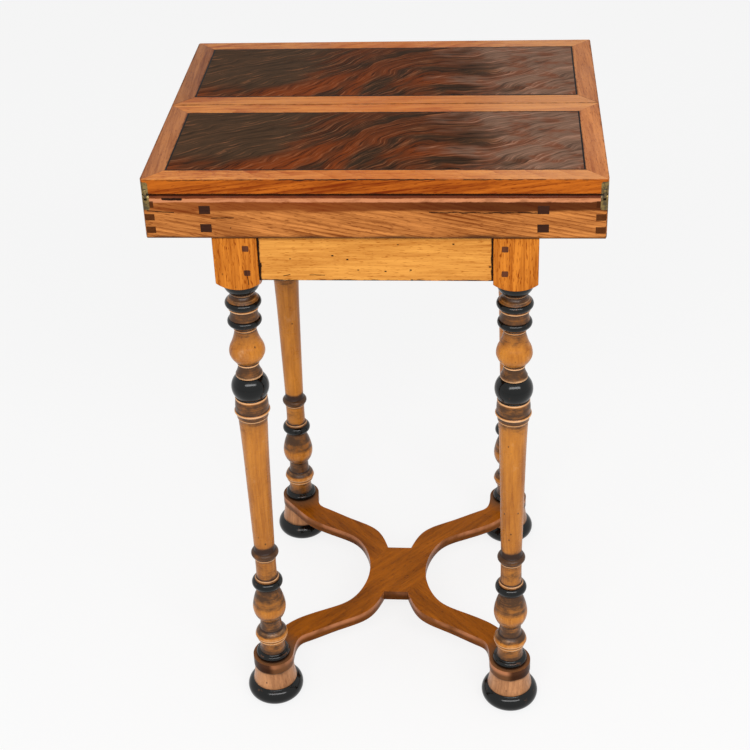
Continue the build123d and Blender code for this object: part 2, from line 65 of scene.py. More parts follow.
# Story stick of a leg from the stretcher up to its block, in runs of one finish. Each row is a
# rise, the radius at its end as a share of the largest radius, and the swell at its middle as the
# same share.
TURNING_FOOT_SHARE = 0.80
TURNING = (
    ("black", (8, 0.80, 0.17), (1, 0.76, 0)),
    ("wood", (17, 0.72, -0.03), (1, 0.81, 0), (3.5, 0.86, 0.02), (1, 0.84, 0), (2.5, 0.94, 0.02),
     (10.5, 0.64, 0.07), (15.5, 0.60, -0.01), (22, 0.94, 0.12), (26.5, 0.58, 0.055), (3, 0.58, 0)),
    ("black", (1, 0.72, 0), (11.5, 0.72, 0.16)),
    ("wood", (3.2, 0.66, 0), (0.6, 0.595, 0), (29, 0.59, -0.01), (0.7, 0.64, 0), (2, 0.64, 0.01),
     (0.8, 0.66, 0), (8, 0.65, 0.12), (1.2, 0.575, 0), (130.5, 0.69, 0), (66.5, 0.785, -0.01),
     (1, 0.84, 0.01), (6, 0.88, -0.01), (1.2, 0.93, 0), (2.2, 0.93, 0.03), (1, 0.89, 0),
     (15, 0.85, 0.02), (2.6, 0.84, 0.02)),
    ("black", (0.8, 0.80, 0), (27.5, 0.67, 0.27)),
    ("wood", (1.2, 0.72, 0), (1.8, 0.71, 0), (12, 0.53, -0.03), (0.7, 0.58, 0), (1.6, 0.58, 0.01),
     (0.7, 0.54, 0), (13.2, 0.94, 0.08), (12.5, 0.80, 0.045), (18.3, 0.56, -0.03), (0.6, 0.61, 0),
     (2.2, 0.61, 0)),
    ("black", (4, 0.80, 0), (8, 0.79, 0.10)),
    ("wood", (11.5, 0.70, -0.03), (0.8, 0.79, 0), (2.4, 0.80, 0)),
    ("black", (1, 0.84, 0), (8.2, 0.83, 0.11)),
    ("wood", (0.8, 0.80, 0), (2, 0.72, 0), (4.5, 0.56, -0.03), (0.6, 0.61, 0), (1.6, 0.61, 0)),
    ("black", (13, 0.96, 0.10)),
)
FOOT_BASE_SHARE = 0.82
FOOT = (("black", (21, 0.82, 0.18), (1, 0.79, 0)), ("wood", (26, 0.70, -0.02)))

# How deep the brown stain lies along a leg, with painted shade and painted highlight in it: height above the
# stretcher in millimetres, amount.
# Below nought the wood is rubbed pale. The lower vase, about 60 to 94 mm, is darker at its ends and paler at
# its middle, painted shade and painted highlight; the paler middle of the upper vase, about 460 mm, is
# painted highlight too.
LEG_STAIN_AND_SHADING = (
    (0, 0.7), (10, 1.0), (15, 0.7), (22, 0.5), (26, 0.3), (29, -0.6), (31, 0.2), (34, 0.5), (37, -0.3),
    (40, 0.9), (50, 0.9), (60, 0.75), (70, 0.5), (80, -0.1), (88, 0.7), (94, 0.5), (100, 1.0),
    (112, 0.9), (126, 0.6), (134, 0.4), (152, 0.35), (158, 0.4), (160.5, 0.5), (161.5, 1.3),
    (164, 1.15), (168, 1.15), (169.5, 1.3), (171, 1.3), (173, 0.4), (190, 0.12), (335, 0.02),
    (360, 0.3), (367, 0.6), (369, -0.5), (371, 0.8), (375.5, 0.8), (377.5, -0.5), (380, 0.8),
    (394, 0.9), (397, -0.6), (399, 0), (424, 0), (427, 0.2), (428.5, 0.9), (440, 1.0), (442, 0.1),
    (444, -0.4), (446, 0.7), (450, 0.35), (460, -0.1), (470, 0.1), (480, 0.5), (487, 0.6), (490, 0.2),
    (504, 0.8), (513, 0.9), (515, 0.2), (517, -0.6), (519, 0), (527, 0.6), (530, 1.0), (535, 1.1),
    (537, 0.2), (551, 0.9),
)
FOOT_STAIN = ((0, 0.5), (22, 0.6), (25, 0.25), (32, 0.0), (41, 0.05), (45, 0.3), (46.5, 0.7), (48, 0.9))

# Heights in metres between which a mark on the box's boards comes in: the dark band, a painted highlight
# along the rim's rounding, painted shadow with dirt where the leaf closes on the rim, and the darker lower
# edge.
BAND_FOOT = (0.7095, 0.7145)
HIGHLIGHT_FOOT, HIGHLIGHT_TOP = (0.7230, 0.7244), (0.7288, 0.7274)
SHADE_AND_DIRT_BELOW_RIM, SHADE_AND_DIRT_AT_RIM, LOW_EDGE = (0.7276, 0.7292), (0.7298, 0.7308), (0.6845, 0.6805)

# Painted light and shade on each member of the leaves' frames: a share of its colour, front and rear, so that
# members at the right are lighter and those at the left and on the rear leaf darker.
LIGHT_AND_SHADE_SHARES = {
    "outer_rail": (0.97, 0.84), "inner_rail": (0.93, 0.86),
    "left_stile": (0.78, 0.64), "right_stile": (1.06, 0.94),
}

# Cracks, gouges and joint lines: both ends, the width and how far it wanders, in millimetres.
BOX_SCARS = (
    ((60, -196.5, 711.4), (180, -196.5, 711.0), 0.8, 3.0),
    ((-172, -196.5, 704.8), (-148, -196.5, 705.2), 0.6, 1.0),
    ((-222.4, -196.5, 727.6), (-203, -196.5, 727.0), 2.0, 2.5),
    ((-240, -196.5, 713.5), (-212, -196.5, 711.4), 0.7, 1.5),
    ((-152, -196.5, 693), (-152, -196.5, 693), 0.9, 0.5),
)
LEAF_SCARS = (
    ((-96, -196, 749.6), (66, -196, 749.4), 0.9, 3.2),
    ((-225, -196.3, 749.0), (-120, -196, 749.8), 0.5, 3.0),
    ((96, -196, 749.4), (180, -196, 749.8), 0.5, 3.0),
)
# The first two marks are the dark joints at the leg blocks, with the painted shadow that each block casts on
# the set-back apron.
APRON_SCARS = (
    ((-126.0, -188.25, 682), (-126.0, -188.25, 622), 2.4, 3.0),
    ((126.2, -188.25, 682), (126.2, -188.25, 622), 2.0, 3.0),
    ((-160, -188.25, 623.4), (160, -188.25, 623.4), 2.0, 5.0),
    ((-123.9, -188.25, 645.4), (-123.9, -188.25, 641.6), 1.0, 1.2),
    ((-150, -188.25, 636.5), (-144, -188.25, 634.0), 1.2, 2.0),
    ((-141, -188.25, 633.4), (-136, -188.25, 633.0), 0.8, 1.0),
    ((-100, -188.25, 630.0), (-93, -188.25, 631.6), 0.6, 1.0),
    ((-71, -188.25, 631.5), (-55, -188.25, 631.0), 0.5, 1.4),
)
BLOCK_SCARS = (((-139.2, -191.25, 633), (-138.6, -191.25, 620.5), 0.55, 0.8),)


def linear(red, green, blue):
    """A colour named in screen values from 0 to 255, as the linear colour that shaders use."""
    screen = np.array((red, green, blue)) / 255
    curved = ((screen + 0.055) / 1.055) ** 2.4
    return tuple(float(v) for v in np.where(screen <= 0.04045, screen / 12.92, curved))


def colour(name, description, *screen):
    """A colour property with its default in screen values."""
    return FloatVectorProperty(
        name=name, description=description, subtype="COLOR", min=0, max=1, default=linear(*screen)
    )


def length(name, description, millimetres):
    """A length property with its default in millimetres."""
    return FloatProperty(
        name=name, description=description, subtype="DISTANCE", unit="LENGTH", min=0,
        default=millimetres * MM,
    )


class CardTableShape(bpy.types.PropertyGroup):
    """Sizes of what is shaped here rather than taken from the frame."""

    turning_radius: length("Turning radius", "Largest radius of a leg's turning", 21.9)
    pommel_low_radius: length("Pommel low radius", "Radius where the block's turning starts", 21.8)
    pommel_high_radius: length("Pommel high radius", "Radius where it leaves the corners", 35.4)
    pommel_height: length("Pommel height", "Height of the turned end of the block", 11.5)
    pommel_swell: length("Pommel swell", "Swell of the pommel at its middle", 1.5)
    block_height: length("Block height", "Height of the square block of a leg", 67.3)
    block_round: length("Block round", "Rounding of the block's long corners", 1.4)
    joinery_round: length("Joinery round", "Rounding of the boards' edges", 0.45)
    stretcher_round: length("Stretcher round", "Rounding of the stretcher's edges", 1.8)
    peg_half: length("Peg half", "Half the width of a peg's head", 3.5)
    peg_length: length("Peg length", "Length of a peg", 22.0)
    peg_in: length("Peg in", "From the block's inner face to the pegs", 12.5)
    peg_down: length("Peg down", "From the top of the block to the upper pegs", 14.5)
    peg_spacing: length("Peg spacing", "From the upper pegs to the lower pegs", 30.0)
    peg_proud: length("Peg proud", "How far the head of a peg stands out", 0.35)
    metal_round: length("Metal round", "Rounding of the hinges' edges", 0.2)
    sides: IntProperty(name="Sides", description="Steps round a turning", default=120, min=24)


class CardTableColours(bpy.types.PropertyGroup):
    """Colours of the finishes."""

    rail_light: colour("Rail light", "Pale part of the leaves' long rails", 226, 144, 70)
    rail_dark: colour("Rail dark", "Dark lines of the leaves' long rails", 164, 74, 14)
    rail_faded: colour("Rail faded", "Faded right end of the long rails", 224, 160, 108)
    rail_deep: colour("Rail deep", "Deep middle of the long rails", 200, 104, 22)
    stile_light: colour("Stile light", "Pale part of the leaves' short stiles", 206, 130, 72)
    stile_dark: colour("Stile dark", "Dark lines of the leaves' short stiles", 146, 76, 36)
    edge_light: colour("Edge light", "Pale part of the leaves' front edges", 183, 96, 24)
    edge_dark: colour("Edge dark", "Dark lines of the leaves' front edges", 114, 40, 1)
    box_light: colour("Box light", "Pale part of the box's boards", 203, 129, 65)
    box_dark: colour("Box dark", "Dark lines of the box's boards", 117, 57, 16)
    box_band: colour("Box band", "Dark band under the box's rim", 110, 44, 8)
    # Painted highlight along the rounding of the box's rim.
    rim_highlight: colour("Rim", "Pale line on the rounding of the box's rim", 195, 127, 86)
    end_grain: colour("End grain", "End grain of the joints", 62, 34, 22)
    veneer_dark: colour("Veneer dark", "Darkest part of the figured veneer", 54, 38, 25)
    veneer_red: colour("Veneer red", "Red part of the figured veneer", 126, 56, 17)
    veneer_streak: colour("Veneer streak", "Pale streaks of the figured veneer", 154, 98, 64)
    # Painted reflection haze over the right part of the veneer, pale and grey.
    veneer_haze: colour("Veneer faded", "Faded part of the figured veneer", 130, 98, 80)
    apron_light: colour("Apron light", "Pale part of the aprons", 223, 154, 71)
    apron_dark: colour("Apron dark", "Dark lines of the aprons", 164, 91, 23)
    block_light: colour("Block light", "Pale part of the leg blocks", 211, 127, 42)
    block_dark: colour("Block dark", "Dark lines of the leg blocks", 139, 62, 3)
    turned_light: colour("Turned light", "Pale part of the turnings", 204, 130, 44)
    turned_dark: colour("Turned dark", "Dark lines of the turnings", 143, 78, 16)
    foot_light: colour("Foot light", "Pale part of the feet's wood", 202, 142, 94)
    foot_dark: colour("Foot dark", "Dark lines of the feet's wood", 113, 66, 33)
    # The browned and stain colours follow the stain table, so they also paint shade at the vases' ends.
    browned: colour("Browned", "Wood under old polish near the turnings' hollows", 128, 80, 36)
    stain: colour("Stain", "Old brown stain in the turnings' hollows", 58, 38, 22)
    # Crests rubbed pale; the same colour is the painted highlight on the middles of the vases.
    rubbed_and_highlight: colour("Worn", "Crests that hands and cloths have rubbed pale", 222, 172, 124)
    stretcher_light: colour("Stretcher light", "Pale part of the stretcher", 168, 93, 14)
    stretcher_dark: colour("Stretcher dark", "Dark lines of the stretcher", 88, 41, 4)
    stretcher_end: colour("Stretcher end", "Stretcher round the legs", 112, 76, 50)
    # Wear with a painted highlight along the stretcher's upper edges.
    stretcher_edge_wear_and_highlight: colour("Stretcher worn", "Worn band along the stretcher's sides", 214, 140, 96)
    peg_light: colour("Peg light", "Pale part of the pegs", 96, 54, 34)
    peg_dark: colour("Peg dark", "Dark lines of the pegs", 50, 26, 16)
    # Old dirt, and also the colour of painted shade: on the stretcher's sides, in the turnings' sharp hollows
    # and where occlusion darkens gaps and corners.
    dirt: colour("Dirt", "Old dirt along edges and joints", 40, 20, 10)
    black: colour("Black", "Ebonised rings and feet", 7, 9, 9)
    black_worn: colour("Black worn", "Brown where the black is worn through", 96, 62, 38)
    baize: colour("Baize", "Playing surface under the leaves", 44, 84, 56)
    felt: colour("Felt", "Linings of the compartments", 66, 44, 34)
    brass: colour("Brass", "Hinges", 150, 126, 78)
    tarnish: colour("Tarnish", "Tarnish on the hinges", 50, 42, 28)
    steel: colour("Steel", "Screws", 120, 112, 100)


class CardTableStage(bpy.types.PropertyGroup):
    """Camera, lamp and sky."""

    lens: FloatProperty(name="Lens", description="Focal length in mm", default=75.17, min=1)
    camera_place: FloatVectorProperty(
        name="Camera place", description="Where the camera stands", subtype="XYZ", unit="LENGTH",
        default=(0.12393, -1.65652, 1.46547),
    )
    camera_turn: FloatVectorProperty(
        name="Camera turn", description="Pitch down, roll and yaw", subtype="EULER", unit="ROTATION",
        default=(math.radians(30.376), math.radians(-2.801), math.radians(6.149)),
    )
    camera_shift: FloatVectorProperty(
        name="Camera shift", description="Shift of the picture's middle", size=2, default=(0.04, -0.1)
    )
    sky: FloatProperty(name="Sky", description="Light from all round", default=0.57, min=0)
    key: FloatProperty(name="Key", description="Power of the large lamp", subtype="POWER", default=50)
    key_place: FloatVectorProperty(
        name="Key place", description="Where the large lamp stands", subtype="XYZ", unit="LENGTH",
        default=(0.3, -2.0, 2.05),
    )
    key_target: FloatVectorProperty(
        name="Key target", description="Point that the large lamp faces", subtype="XYZ", unit="LENGTH",
        default=(0, 0, 0.45),
    )
    key_size: FloatVectorProperty(
        name="Key size", description="Width and height of the large lamp", size=2, unit="LENGTH",
        default=(3.0, 0.5),
    )


# Meshes


def curve_through(start, middle, end, steps):
    """Points of the circle arc through three points of the profile plane.

    The centre is where the perpendicular bisectors meet, and the angle runs evenly from the
    start through the middle to the end."""
    a, b, c = (np.array(p, float) for p in (start, middle, end))
    d = 2 * (a[0] * (b[1] - c[1]) + b[0] * (c[1] - a[1]) + c[0] * (a[1] - b[1]))
    squares = [p @ p for p in (a, b, c)]
    centre = np.array([
        squares[0] * (b[1] - c[1]) + squares[1] * (c[1] - a[1]) + squares[2] * (a[1] - b[1]),
        squares[0] * (c[0] - b[0]) + squares[1] * (a[0] - c[0]) + squares[2] * (b[0] - a[0]),
    ]) / d
    angles = np.unwrap([math.atan2(*(p - centre)[::-1]) for p in (a, b, c)])
    turn = np.interp(np.linspace(0, 2, steps + 1), (0, 1, 2), angles)
    radius = np.linalg.norm(a - centre)
    return centre + radius * np.stack((np.cos(turn), np.sin(turn)), 1)


def turned_bands(runs, base, base_radius, height, radius):
    """The profile of a story stick as bands of one finish: a list of finish and (radius, z) points.

    Each row rises by its share of the height, straight or as an arc through its swell."""
    whole = sum(row[0] for _, *rows in runs for row in rows)
    bands = []
    here = (base_radius, base)
    for finish, *rows in runs:
        band = np.array([here])
        for rise, radius_share, swell_share in rows:
            there = (radius * radius_share, here[1] + height * rise / whole)
            if swell_share:
                swell = ((here[0] + there[0]) / 2 + radius * swell_share, (here[1] + there[1]) / 2)
                steps = max(6, round(abs(there[1] - here[1]) / (0.9 * MM)))
                points = curve_through(here, swell, there, min(steps, 36))
            else:
                steps = 2 if abs(there[1] - here[1]) < 20 * MM else 12
                points = np.linspace(here, there, steps + 1)
            band = np.concatenate((band, points[1:]))
            here = there
        bands.append((finish, band))
    return bands


def grid_faces(rows, columns):
    """Quads of a grid that closes on itself from the last column to the first."""
    low = np.arange(rows - 1)[:, None] * columns
    near = np.arange(columns)
    far = (near + 1) % columns
    return np.stack((low + near, low + far, low + columns + far, low + columns + near), 2).reshape(-1, 4)


def capped(rings):
    """A closed surface through rings of points, with its ends drawn together at their middles.

    Row i, column j of the grid is point j of ring i. The first and last rings are repeated at
    their mean point, and the doubles there are welded."""
    rings = np.asarray(rings, float)
    ends = [np.broadcast_to(rings[i].mean(0), rings[i].shape) for i in (0, -1)]
    grid = np.concatenate((ends[:1], rings, ends[1:]))
    return grid.reshape(-1, 3), grid_faces(len(grid), grid.shape[1])


def lathe(points, sides, centre):
    """A profile of (radius, z) turned about a vertical axis: x = r cos a, y = r sin a, z = z."""
    angle = np.linspace(0, 2 * math.pi, sides, endpoint=False)
    radius, z = points[:, 0, None], points[:, 1, None]
    ring = (centre[0] + radius * np.cos(angle), centre[1] + radius * np.sin(angle))
    return np.stack((*ring, np.broadcast_to(z, ring[0].shape)), 2)


def modifier(piece, name, kind, **options):
    """Add a modifier with its options."""
    made = piece.modifiers.new(name, kind)
    for key, value in options.items():
        setattr(made, key, value)


def link(name, data):
    """An object of the scene that holds a mesh, a lamp or a camera."""
    made = bpy.data.objects.new(name, data)
    bpy.context.scene.collection.objects.link(made)
    return made


def add_surface(name, surfaces, marks=None):
    """One mesh object from several closed surfaces, each a pair of points and quads.

    The quads keep the order of the grid, so that faces point outwards where the columns run
    anticlockwise. Marks are named values, one for each point."""
    counts = np.cumsum([0] + [len(points) for points, _ in surfaces])
    points = np.concatenate([points for points, _ in surfaces])
    faces = np.concatenate([faces + start for (_, faces), start in zip(surfaces, counts)])
    mesh = bpy.data.meshes.new(name)
    mesh.from_pydata(points, [], faces.tolist())
    for label, values in (marks or {}).items():
        layer = mesh.attributes.new(label, "FLOAT", "POINT")
        layer.data.foreach_set("value", np.asarray(values, np.float32))
    mesh.polygons.foreach_set("use_smooth", np.ones(len(faces), bool))
    made = link(name, mesh)
    modifier(made, "weld", "WELD", merge_threshold=WELD_REACH)
    return made


def place(piece, body, slot, material, *nodes):
    """Give a piece its finish and its body, in place of the nodes that it stands for."""
    piece.data.materials.append(material)
    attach(piece, body)
    if nodes:
        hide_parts(*nodes)


def finish_node(name, material, width=0.0):
    """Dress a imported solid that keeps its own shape, and round its sharp edges by a width."""
    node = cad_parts[name]
    for slot in node.material_slots:
        slot.material = material
    if width:
        modifier(node, "weld", "WELD", merge_threshold=WELD_REACH)
        modifier(node, "flat", "DECIMATE", decimate_type="DISSOLVE", angle_limit=math.radians(0.5))
        modifier(node, "bevel", "BEVEL", width=width, segments=2, limit_method="ANGLE",
                 angle_limit=math.radians(35))
        modifier(node, "even", "WEIGHTED_NORMAL", weight=80)


def middle(name):
    """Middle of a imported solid's box."""
    low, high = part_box(name)
    return (low + high) / 2


def settings():
    """The three groups of properties."""
    scene = bpy.context.scene
    return scene.card_table_shape, scene.card_table_colours, scene.card_table_stage


# Shader helpers


def has_parts(value):
    """Whether a value is a vector or a colour."""
    if isinstance(value, Value):
        return value.socket.type in ("VECTOR", "RGBA")
    return hasattr(value, "__len__")


class Value:
    """An output of a node, so that sums on it can be written as plain arithmetic."""

    def __init__(self, nodes, socket):
        self.nodes, self.socket = nodes, socket

    def apply(self, operation, *others, output=0):
        """The result of an operation on this value and others, done on vectors if one is there."""
        values = (self, *others)
        kind = "ShaderNodeVectorMath" if any(map(has_parts, values)) else "ShaderNodeMath"
        return self.nodes.value(kind, output, dict(enumerate(values)), operation=operation)

    def __add__(self, other):
        return self.apply("ADD", other)

    def __sub__(self, other):
        return self.apply("SUBTRACT", other)

    def __rsub__(self, other):
        return self * -1 + other

    def __mul__(self, other):
        return self.apply("MULTIPLY", other)

    def __truediv__(self, other):
        return self.apply("DIVIDE", other)

    def __abs__(self):
        return self.apply("ABSOLUTE")

    def least(self, other):
        return self.apply("MINIMUM", other)

    def most(self, other):
        return self.apply("MAXIMUM", other)

    def dot(self, other):
        return self.apply("DOT_PRODUCT", other, output=1)

    def length(self):
        return self.apply("LENGTH", output=1)

    def clamped(self):
        """The same sum, kept between 0 and 1."""
        self.socket.node.use_clamp = True
        return self

    def parts(self):
        """The three parts of a vector."""
        node = self.nodes.add("ShaderNodeSeparateXYZ", {0: self})
        return [Value(self.nodes, socket) for socket in node.outputs]

    def step(self, low, high, to_low=0.0, to_high=1.0):
        """A smooth step from one range to another."""
        sockets = {"Value": self, "From Min": low, "From Max": high, "To Min": to_low, "To Max": to_high}
        return self.nodes.value("ShaderNodeMapRange", 0, sockets, interpolation_type="SMOOTHSTEP")


class Nodes:
    """A node tree with short calls for adding and joining nodes."""

    def __init__(self, tree):
        self.tree = tree

    def fill(self, node, sockets):
        """Join outputs to a node's inputs, or set the inputs' own values, by name or place."""
        for key, value in sockets.items():
            socket = node.inputs[key]
            if isinstance(value, Value):
                self.tree.links.new(value.socket, socket)
            elif socket.type == "RGBA" and len(value) == 3:
                socket.default_value = (*value, 1)
            elif socket.type == "VECTOR" and not has_parts(value):
                socket.default_value = (value,) * 3
            else:
                socket.default_value = value
        return node

    def add(self, kind, sockets=None, **options):
        """Add a node, set its options and fill its inputs."""
        node = self.tree.nodes.new(kind)
        row, column = divmod(len(self.tree.nodes), 12)
        node.location = (200 * column, -260 * row)
        for key, value in options.items():
            setattr(node, key, value)
        return self.fill(node, sockets or {})

    def value(self, kind, output, sockets=None, **options):
        """Add a node and give one of its outputs."""
        return Value(self, self.add(kind, sockets, **options).outputs[output])

    def where(self, output="Object"):
        """The shaded point in the object's own space, or its normal."""
        return self.value("ShaderNodeTexCoord", output)

    def mark(self, name):
        """A named value of the mesh."""
        return self.value("ShaderNodeAttribute", "Fac", attribute_name=name)

    def noise(self, vector, detail=2.0, roughness=0.5, distortion=0.0):
        """Noise from 0 to 1 over a vector that is already scaled."""
        sockets = {"Vector": vector, "Scale": 1.0, "Detail": detail, "Roughness": roughness,
                   "Distortion": distortion}
        return self.value("ShaderNodeTexNoise", "Fac", sockets)

    def mix(self, share, first, second):
        """A mix of two colours."""
        return self.value("ShaderNodeMix", 2, {0: share, 6: first, 7: second}, data_type="RGBA")

    def bump(self, height, strength, distance=0.0004):
        """A normal that follows a height."""
        return self.value("ShaderNodeBump", 0, {"Height": height, "Strength": strength, "Distance": distance})

    def near(self, distance, samples):
        """How open the surface is to what lies within a distance, from 0 to 1."""
        return self.value("ShaderNodeAmbientOcclusion", "AO", {"Distance": distance}, samples=samples)

    def ray(self, *kinds):
        """One where the ray is of any of these kinds, else nought."""
        path = self.add("ShaderNodeLightPath")
        found, *others = (Value(self, path.outputs[kind]) for kind in kinds)
        for other in others:
            found = found.most(other)
        return found

    def group(self, label, **sockets):
        """The outputs of a shared group by name. It is built the first time that it is asked for."""
        tree = bpy.data.node_groups.get(label) or GROUPS[label]()
        node = self.add("ShaderNodeGroup", sockets, node_tree=tree)
        return {socket.name: Value(self, socket) for socket in node.outputs}


def new_group(name, inputs, outputs):
    """An empty shader group, from its inputs' defaults and its outputs' kinds."""
    tree = bpy.data.node_groups.new(name, "ShaderNodeTree")
    for label, default in inputs.items():
        kind = {3: "Vector", 4: "Color"}[len(default)] if has_parts(default) else "Float"
        socket = tree.interface.new_socket(name=label, in_out="INPUT", socket_type="NodeSocket" + kind)
        socket.default_value = default
    for label, kind in outputs.items():
        tree.interface.new_socket(name=label, in_out="OUTPUT", socket_type="NodeSocket" + kind)
    nodes = Nodes(tree)
    start = {socket.name: Value(nodes, socket) for socket in nodes.add("NodeGroupInput").outputs}
    return nodes, start, nodes.add("NodeGroupOutput")


def grain_group():
    """Wood grain along X: growth rings about a heart, fibres, pores, blotches and wormholes."""
    nodes, start, end = new_group(
        "Wood grain",
        {"Vector": (0, 0, 0), "Light": (0.5, 0.3, 0.1, 1), "Dark": (0.2, 0.1, 0.03, 1),
         "Heart": (0, 0.02, -0.05), "Ring": 0.003, "Wander": 0.01, "Rings": 0.5, "Fibres": 0.5,
         "Pores": 0.6, "Blotches": 0.6, "Holes": 0.0},
        {"Color": "Color", "Height": "Float", "Tone": "Float"},
    )
    spot = start["Vector"]
    slow = nodes.noise(spot * (3.5, 16, 16), 3, 0.55)
    across = (spot - start["Heart"]) * (0.06, 1, 1)
    distance = (slow - 0.5) * start["Wander"] + across.length()
    late = (distance / start["Ring"]).apply("FRACT").apply("POWER", 3.0)
    weak = nodes.noise(spot * (5, 40, 40), 2).step(0.3, 0.7)
    rings = late * weak * start["Rings"]
    coarse = nodes.noise(spot * (16, 330, 330), 3, 0.6)
    fine = nodes.noise(spot * (45, 1300, 1300), 2, 0.6)
    broad = nodes.noise(spot * (9, 120, 120), 2, 0.5)
    fibres = (fine * 0.7 + (coarse * 2.2 + broad * 1.6 - 2.25)) * start["Fibres"]
    pores = nodes.noise(spot * (110, 1100, 1100), 1, 0.5).step(0.60, 0.70) * start["Pores"]
    cloud = nodes.noise(spot * (8, 26, 26), 4, 0.62, 0.6)
    blotches = (cloud - 0.5) * 1.5 * start["Blotches"]
    cells = nodes.add("ShaderNodeTexVoronoi", {"Vector": spot * (70, 110, 110), "Scale": 1.0}).outputs
    some = Value(nodes, cells["Color"]).parts()[0].step(0.55, 0.6)
    holes = Value(nodes, cells["Distance"]).step(0.13, 0.07) * some * start["Holes"]
    tone = (rings + fibres + (pores + blotches) + 0.30).clamped()
    shade = nodes.mix(tone, start["Light"], start["Dark"])
    height = coarse * 0.3 - (holes * 3.0 + (rings * 0.4 + pores))
    nodes.fill(end, {"Color": nodes.mix(holes, shade, (0.012, 0.005, 0.002)), "Tone": tone, "Height": height})
    return nodes.tree


def dirt_and_shade_group():
    """Old dirt in joints and along the edges of a board whose middle and half sizes are given, and painted
    shade in gaps, in corners and under things, where occlusion finds other surfaces near.

    A point's distance to each pair of faces is the half size less its offset from the middle.
    The least of the three is nought on the surface, so the second least is how far off the
    nearest edge is."""
    nodes, start, end = new_group(
        "Old dirt",
        {"Middle": (0, 0, 0), "Half": (9, 9, 9), "Reach": 0.0022, "Joints": 0.9, "Edges": 0.6},
        {"Mask": "Float"},
    )
    spot = nodes.where()
    x, y, z = (start["Half"] - abs(spot - start["Middle"])).parts()
    edge = x.least(y).most(x.most(y).least(z))
    cloud = nodes.noise(spot * 70, 4, 0.65)
    soiled = (edge + (cloud - 0.45) * 0.007).step(start["Reach"], 0) * start["Edges"]
    # Dark joints and narrow gaps from occlusion within 3 mm: dirt in the joints with painted shade in the
    # gaps.
    closed = nodes.near(0.003, 8).step(0.86, 0.42) * start["Joints"]
    # Painted shade in corners and under things, from occlusion within 14 mm, broken into patches like dust.
    dust_and_shade = nodes.near(0.014, 4).step(0.75, 0.3) * cloud.step(0.3, 0.6, 0.15, 0.55)
    nodes.fill(end, {"Mask": soiled.most(closed.most(dust_and_shade)).clamped()})
    return nodes.tree


def scar_group():
    """A jagged crack between two points, or a spot where they meet.

    The distance to the segment, after noise has moved the point about, is compared with the
    crack's width."""
    nodes, start, end = new_group(
        "Scar", {"Start": (0, 0, 0), "End": (0, 0, 0), "Width": 0.0006, "Wander": 0.003}, {"Mask": "Float"}
    )
    spot = nodes.where()
    drift = nodes.value("ShaderNodeTexNoise", "Color", {"Vector": spot, "Scale": 90.0, "Detail": 3.0})
    offset = spot + (drift - 0.5) * start["Wander"] - start["Start"]
    run = start["End"] - start["Start"]
    share = (offset.dot(run) / run.dot(run).most(1e-9)).clamped()
    distance = (offset - run * share).length()
    mask = ((start["Width"] - distance) / (start["Width"] * 0.5)).clamped()
    nodes.fill(end, {"Mask": mask})
    return nodes.tree


GROUPS = {"Wood grain": grain_group, "Old dirt": dirt_and_shade_group, "Scar": scar_group}


# Finishes

ALONG = {"x": (0, 0, 0), "y": (0, 0, -90), "z": (0, 90, 0)}


def new_material(name):
    """A material with only its shader and output, and its tree."""
    material = bpy.data.materials.new(name)
    material.use_nodes = True
    return material, Nodes(material.node_tree), material.node_tree.nodes["Principled BSDF"]


def turn_about(nodes, vector, degrees):
    """Turn a pattern by three angles."""
    turn = tuple(math.radians(angle) for angle in degrees)
    return nodes.value("ShaderNodeMapping", 0, {"Vector": vector, "Rotation": turn}, vector_type="TEXTURE")


def times(shade, share):
    """A colour made darker or lighter by a share."""
    return tuple(min(1.0, share * part) for part in shade)


def scars(nodes, base, marks, shade=(0.012, 0.004, 0.002)):
    """Lay cracks and spots over a colour. Each has two ends in millimetres, a width and a wander."""
    for first, last, width, wander in marks:
        start, end = ([v * MM for v in point] for point in (first, last))
        mask = nodes.group("Scar", Start=start, End=end, Width=width * MM, Wander=wander * MM)["Mask"]
        base = nodes.mix(mask, base, shade)
    return base


def polish(nodes, shader, base, rough, height, strength, level=0.06):
    """Feed colour, roughness and relief to the shader of a waxed or polished finish."""
    nodes.fill(shader, {"Base Color": base, "Roughness": rough, "Normal": nodes.bump(height, strength),
                        "Specular IOR Level": level})


def wood(name, light, dark, along="x", board=None, turn=(0, 0, 0), offset=(0, 0, 0), over=None,
         rough=0.30, edges=0.55, **grain):
    """A waxed board with its grain along an axis, end grain at its ends, dirt at its edges and joints, and
    painted shade in its corners and gaps.

    The function over, where there is one, lays further colour on the grain."""
    material, nodes, shader = new_material(name)
    spot = nodes.where()
    lie = tuple(a + b for a, b in zip(ALONG[along], turn))
    moved = turn_about(nodes, spot, lie) + offset
    figure = nodes.group("Wood grain", Vector=moved, Light=light, Dark=dark, **grain)
    base = over(nodes, figure["Color"], figure["Tone"]) if over else figure["Color"]
    grain_way = Euler([math.radians(angle) for angle in lie]).to_matrix() @ Vector((1, 0, 0))
    facing = abs(nodes.where("Normal").dot(grain_way))
    base = nodes.mix(facing.step(0.6, 0.85, 0, 0.92), base, times(dark, 0.30))
    soil = {"Edges": edges}
    if board:
        low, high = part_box(board)
        soil.update(Middle=(low + high) / 2, Half=(high - low) / 2)
    dirt_shade_mask = nodes.group("Old dirt", **soil)["Mask"]
    base = nodes.mix(dirt_shade_mask, base, settings()[1].dirt)
    gloss = nodes.noise(spot * 16, 3, 0.6).step(0.3, 0.7, rough - 0.05, rough + 0.10)
    polish(nodes, shader, base, dirt_shade_mask * 0.35 + gloss, figure["Height"], 0.25)
    return material


